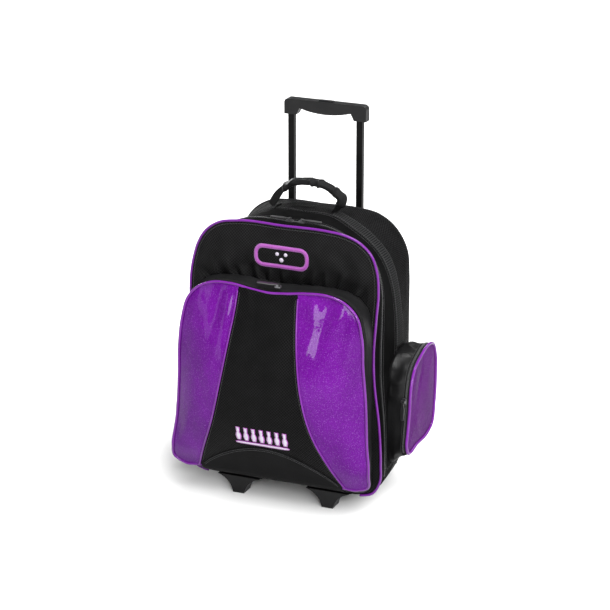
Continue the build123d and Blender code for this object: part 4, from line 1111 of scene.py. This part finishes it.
def build_side_pocket(side, tag):
    """Crumpled wall, zip, piping and vinyl face of one side pocket."""
    count, shell = len(SIDE_RIM), "bag_shell"
    places = evenly(SIDE_RIM, 0, count, 221, True)[:-1]

    def ring(name, shares, finish, lift, thick=1.4, **more):
        s, p = np.meshgrid(shares, places, indexing="ij")
        grid = side_wall(p, s, side)
        height = lift(s, grid) if callable(lift) else lift
        grid = grid + away(grid) * np.broadcast_to(height, s.shape)[..., None]
        run = lengths(side_wall(np.append(places, places[0]), 0.8, side))[:-1]
        uv = np.stack(np.broadcast_arrays(run[None], s * 55), -1)
        sheet_mesh(name, grid, shell, finish, uv, True, thick, flip=side > 0, **more)

    def slack(s, grid):
        inner = np.sin(math.pi * np.clip(s / 0.76, 0, 1))
        return inner * (creases(grid, 81 + side, 20.0, 4.6) + 1.5) - 2.0 * (1 - smooth(s, 0, 0.12))

    ring(f"side_pocket_cloth_{tag}", np.linspace(0, 0.76, 26), "nylon_black", slack, hides=("side_gussets",))
    ring(f"side_tape_rear_{tag}", (0.745, 0.78, 0.825), "zip_black", 0.6, 0.9, hides=("side_zips",))
    ring(f"side_tape_front_{tag}", (0.85, 0.89, 0.93, 0.97), "zip_black", 0.6, 0.9)
    run = evenly(SIDE_RIM, 0.3, count - 1.6, 420, True)
    path = side_wall(run, 0.838, side)
    out = away(path)
    for sign, name in ((1, "a"), (-1, "b")):
        zip_teeth(f"side_teeth_{name}_{tag}", path + 0.6 * out, out, sign, shell)
    stitches(f"side_stitches_{tag}", side_wall(run, 0.735, side) + 1.4 * out, out, shell)
    flap = "side_flap_" + tag
    edge = side_wall(evenly(SIDE_RIM, 0, count, 321, True)[:-1], 1.0, side)
    tube(f"side_welt_{tag}", edge, 2.9, flap, "piping_purple", True, up=(side, 0, 0),
         hides=(f"side_piping_{tag}",))

    def border(a, b):
        p = curve(SIDE_RIM, evenly(SIDE_RIM, a, b, 70, True), True)
        inward = (120.0, 222.0) - p
        return p + inward / np.linalg.norm(inward, axis=1)[:, None] * 1.2

    flat = patch(border(count + 0.4, 12.5), border(5, 8.6), border(0.4, 5), border(12.5, 8.6))
    y, z = flat[..., 0], flat[..., 1]
    d = np.clip(1 - np.maximum(np.abs(y - 118) / 80, np.abs(z - 222) / 98) ** 2.6, 0, 1)
    points = np.stack([0 * y, y, z], -1)
    folds = (bump_at(y, z, 80, 285, 20, 34, 9, 1.8) - bump_at(y, z, 100, 262, 24, 46, 9, 1.6)
             + bump_at(y, z, 92, 162, -30, 30, 10, 1.4))
    swell = 3.6 * d + d * (1.6 * wobble(points, 46.0, 90 + side) + folds)
    grid = np.stack([side * (SIDE_FACE_X - 1.0 + swell), y, z], -1)
    # The side vinyl's darker colour is painted shade.
    sheet_mesh(f"side_vinyl_{tag}", grid, flap, "vinyl_side", flat, thick=1.6, flip=side < 0,
               hides=(f"side_panel_{tag}",))


# ---------------------------------------------------------------- carry handle and back

def build_handle():
    """Webbing arch with a crumpled cloth wrap over its middle and a twist in each leg."""
    line = [(-75, 578), (-68, 590), (-58.5, 604), (-48, 615.5), (-36, 624), (-22, 630.5), (-8, 633),
            (12, 634.5), (28, 633.5), (43, 629.5), (56, 624), (68, 616.5), (75.5, 609), (76, 601), (69, 590),
            (60, 579)]
    flat = curve(line, evenly(line, 0, len(line) - 1, 300))
    path = np.stack([flat[:, 0], np.full(len(flat), 117.0), flat[:, 1]], 1)
    side, n = frames_along(path)[1:]
    part = lengths(path) / lengths(path)[-1]
    wrap = smooth(part, 0.19, 0.25) * (1 - smooth(part, 0.89, 0.95))
    twist = math.radians(62) * (1 - smooth(part, 0.08, 0.36)) + math.radians(30) * smooth(part, 0.74, 0.92)
    c, s = np.cos(twist)[:, None], np.sin(twist)[:, None]
    wide, deep = c * n + s * side, c * side - s * n
    angle = np.linspace(0, 2 * math.pi, 48, endpoint=False)
    squared = np.sign(ring_shape(48)) * np.abs(ring_shape(48)) ** 0.6
    half_w, half_t = (9.6 + 2.0 * wrap) * (1 - 0.3 * smooth(part, 0.88, 1.0)), 1.8 + 4.6 * wrap
    rings = (path[:, None] + (half_w[:, None] * squared[:, 0])[..., None] * wide[:, None]
             + (half_t[:, None] * squared[:, 1])[..., None] * deep[:, None])
    out = rings - rings.mean(1, keepdims=True)
    out /= np.linalg.norm(out, axis=-1, keepdims=True)
    ridge = 1 - np.abs(wobble(rings * (1.0, 0.5, 1.0), 17.0, 101))
    crumple = 3.4 * (ridge**3 - 0.4) + 0.6 * wobble(rings, 8.0, 102)
    seam = 0.9 * smooth(np.abs(angle - 4.3 - 0.5 * np.sin(part[:, None] * 9)), 0.30, 0.05)
    rings = rings + out * (wrap[:, None] * (crumple + seam) + 0.2 * wobble(rings, 12.0, 103))[..., None]
    piece = ring_mesh("carry_handle_wrap", rings, path, "carry_handle", "wrap_black", girth_row=150,
                      slot="webbing_black", hides=("carry_handle",))


def build_back():
    """Padded back with a bound edge, and the cover over the trolley's tubes."""
    low_place = place_at(184, 76, BACK_Y)
    for name, a, b, n in (("back_binding", low_place, COUNT - low_place, 360),
                          ("back_binding_low", -1.55, 1.55, 120)):
        path = bag(evenly(REAR_LOOP, a, b, n, True), BACK_Y + 0.5, -1.4)
        tube(name, path, 2.6, "bag_shell", "webbing_black", up=(0, 1, 0))
    grid = face_patch(REAR_LOOP, BACK_Y, 2.2, 120, 170)
    x, z = grid[..., 0], grid[..., 2]
    inner = (1 - smooth(np.abs(x), 140, 180)) * (1 - smooth(z, 510, 556)) * smooth(z, 44, 80)
    channel = np.exp(-(((np.abs(x) - 112) / 4.5) ** 2))
    clear = smooth(np.abs(x), 96, 106)
    grid[..., 1] = BACK_Y + 1 + clear * inner * (5.5 - 4.0 * channel + 0.8 * wobble(grid, 70.0, 110))
    piece = sheet_mesh("back_pad", grid, "bag_shell", "dobby_front", grid[..., ::2], thick=1.6,
                       keep=outside_wheel_room, flip=True, slot="plain_black", hides=("back_panel",))
    low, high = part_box("tube_cover")
    z0, z1, half, foot_y = 1000 * low.z + 1.0, 1000 * high.z - 0.5, 1000 * high.x, 211.5
    us, vs = np.meshgrid(np.linspace(-1, 1, 110), np.linspace(0, 1, 150), indexing="xy")
    x, z = us * half, z0 + (z1 - z0) * vs
    ends = 0.94 + 0.06 * smooth(vs, 0, 0.03) * (1 - smooth(vs, 0.97, 1.0))
    crown = (1 - np.abs(us) ** 9) * ends
    tubes = np.exp(-(((np.abs(x) - 73.5) / 15) ** 2))
    soft = np.stack([x, 0 * x, z * 0.7], -1)
    swell = 14.2 + 1.9 * tubes - 1.6 * np.exp(-((x / 26) ** 2))
    y = foot_y + crown * (swell + 0.8 * wobble(soft, 45.0, 120) + 0.5 * creases(soft, 121, 30.0, 1.2))
    grid = np.stack([x, y, z], -1)
    cover = sheet_mesh("tube_sleeve", grid, "bag_shell", "wrap_black", grid[..., ::2], thick=1.4, flip=True,
                       hides=("tube_cover",))
    for index, x in enumerate((-94.0, 94.0)):
        z = np.linspace(z0 + 6, z1 - 6, 300)
        y = foot_y + (1 - (abs(x) / half) ** 9) * 14.5
        line = np.stack(np.broadcast_arrays(x, y, z), 1)
        stitches(f"sleeve_stitches_{index}", line, (0, 1, 0), "bag_shell")


def build_ball_cup():
    """Foam cradle with a rounded rim and a dish for the ball."""
    low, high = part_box("ball_cup")
    half = np.array([500 * (high.x - low.x), 500 * (high.y - low.y)])
    middle_y = 500 * (low.y + high.y) - SHIFT
    z0, z1, ball, floor = 1000 * low.z, 1000 * high.z, 109.5, 12
    turn = ring_shape(140)
    squared = np.sign(turn) * np.abs(turn) ** 0.35
    walls = ((1.0, z0 + 0.2), (1.0, z0 + 12), (1.0, z1 - 9), (0.985, z1 - 3.5), (0.955, z1 - 0.8), (0.92, z1))
    rings = [(r * half * squared, z) for r, z in walls]
    for radius in 0.86 * half.min() * np.linspace(1.0, 0.02, 16):
        rings.append((radius * turn, min(z1, z0 + floor + ball - math.sqrt(ball**2 - radius**2))))
    grid = np.array([np.column_stack([flat + (0, middle_y), np.full(140, z)]) for flat, z in rings])
    grid[..., 2] += 0.4 * wobble(grid, 18.0, 130)
    piece = sheet_mesh("ball_cradle", grid, "bag_shell", "foam_grey", None, True, 0.0, hides=("ball_cup",))


# ---------------------------------------------------------------- trim on the CAD parts

def soften_cad_edges():
    """Small bevels on the moulded and cast CAD parts."""
    widths = {"feet": 1.2, "grip_front": 1.6, "grip_rear": 1.6, "bezel": 0.8, "bottom_bracket": 0.8,
              "wheel_housings": 0.6, "push_button": 0.6}
    for name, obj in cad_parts.items():
        width = widths.get(name, 0.35 if name.startswith(("slider_", "pull_")) else 0)
        if width:
            edge = obj.modifiers.new("edge", "BEVEL")
            edge.width = width / 1000
            edge.segments = 3
            edge.limit_method = "ANGLE"
            edge.angle_limit = math.radians(40)
            edge.harden_normals = False
        obj.data.polygons.foreach_set("use_smooth", [True] * len(obj.data.polygons))
        obj.data.set_sharp_from_angle(angle=math.radians(35))


# ---------------------------------------------------------------- stage

def place_object(name, data, where=(0, 0, 0), back=(0, 0, 1)):
    """Object whose local z axis points back, away from what it looks at."""
    made = bpy.data.objects.new(name, data)
    bpy.context.scene.collection.objects.link(made)
    made.location = where
    made.rotation_mode = "QUATERNION"
    made.rotation_quaternion = Vector(back).to_track_quat("Z", "Y")
    return made


def build_lights():
    """Soft boxes round the bag, and a broad sun for the white studio's even light."""
    world = bpy.data.worlds.new("studio")
    bpy.context.scene.world = world
    world.use_nodes = True
    world.node_tree.nodes["Background"].inputs[0].default_value = (1, 1, 1, 1)
    world.node_tree.nodes["Background"].inputs[1].default_value = 0.32
    sun = bpy.data.lights.new("sky_box", "SUN")
    sun.energy = 7.8
    sun.angle = math.radians(55)
    place_object("sky_box", sun, back=(0.95, -0.60, 1.15)).visible_glossy = False
    # Place in metres, height of the target, width and height of the box, and its power.
    for name, where, target_z, size, power in (
            ("left_box", (-1.5, -2.1, 0.62), 0.4, (0.45, 0.8), 3.5),
            ("front_box", (0.05, -2.7, 0.9), 0.4, (0.5, 0.6), 18),
            ("right_box", (2.3, -1.5, 1.5), 0.3, (0.35, 1.1), 18),
            ("top_box", (0.3, -0.4, 3.0), 0.4, (0.9, 0.6), 85),
            ("back_fill", (-2.0, 2.4, 1.1), 0.4, (0.8, 0.8), 40),
            ("key", (1.3, -2.6, 1.5), 0.45, (0.7, 0.6), 55),
            ("rim", (0.6, 2.2, 2.5), 0.45, (1.2, 0.8), 22)):
        data = bpy.data.lights.new(name, "AREA")
        data.shape = "RECTANGLE"
        data.size, data.size_y = size
        data.energy = power
        place_object(name, data, where, Vector(where) - Vector((0, 0, target_z))).visible_camera = False


def build_stage():
    """Pale floor."""
    data = bpy.data.meshes.new("floor")
    data.from_pydata([(-30, -30, 0), (30, -30, 0), (30, 30, 0), (-30, 30, 0)], [], [(0, 1, 2, 3)])
    floor = bpy.data.objects.new("floor", data)
    bpy.context.scene.collection.objects.link(floor)
    data.materials.append(Paint("floor_white", (0.58, 0.58, 0.58), 0.9, IOR=1.1).material)
    bpy.context.scene.view_settings.view_transform = "Standard"


def build_camera():
    """Camera fitted to the photo, as near as its long lens puts it."""
    data = bpy.data.cameras.new("camera")
    data.lens = 152.26
    data.sensor_width = 36.0
    data.clip_end = 100
    azimuth, elevation = math.radians(23.0), math.radians(19.5)
    level = math.cos(elevation)
    back = (math.sin(azimuth) * level, -math.cos(azimuth) * level, math.sin(elevation))
    bpy.context.scene.camera = place_object("camera", data, metres((1900.8, -4367.1, 2101.1)), back)


dress_cad_nodes()
soften_cad_edges()
build_walls()
base_wrap()
build_straps()
build_main_piping()
build_front_panel()
build_badge()
build_pocket_faces()
build_centre_panel()
build_scuff_panel()
build_pocket_walls()
build_emblem()
build_side_pocket(1, "right")
build_side_pocket(-1, "left")
build_handle()
build_back()
build_ball_cup()
build_stage()
build_lights()
build_camera()
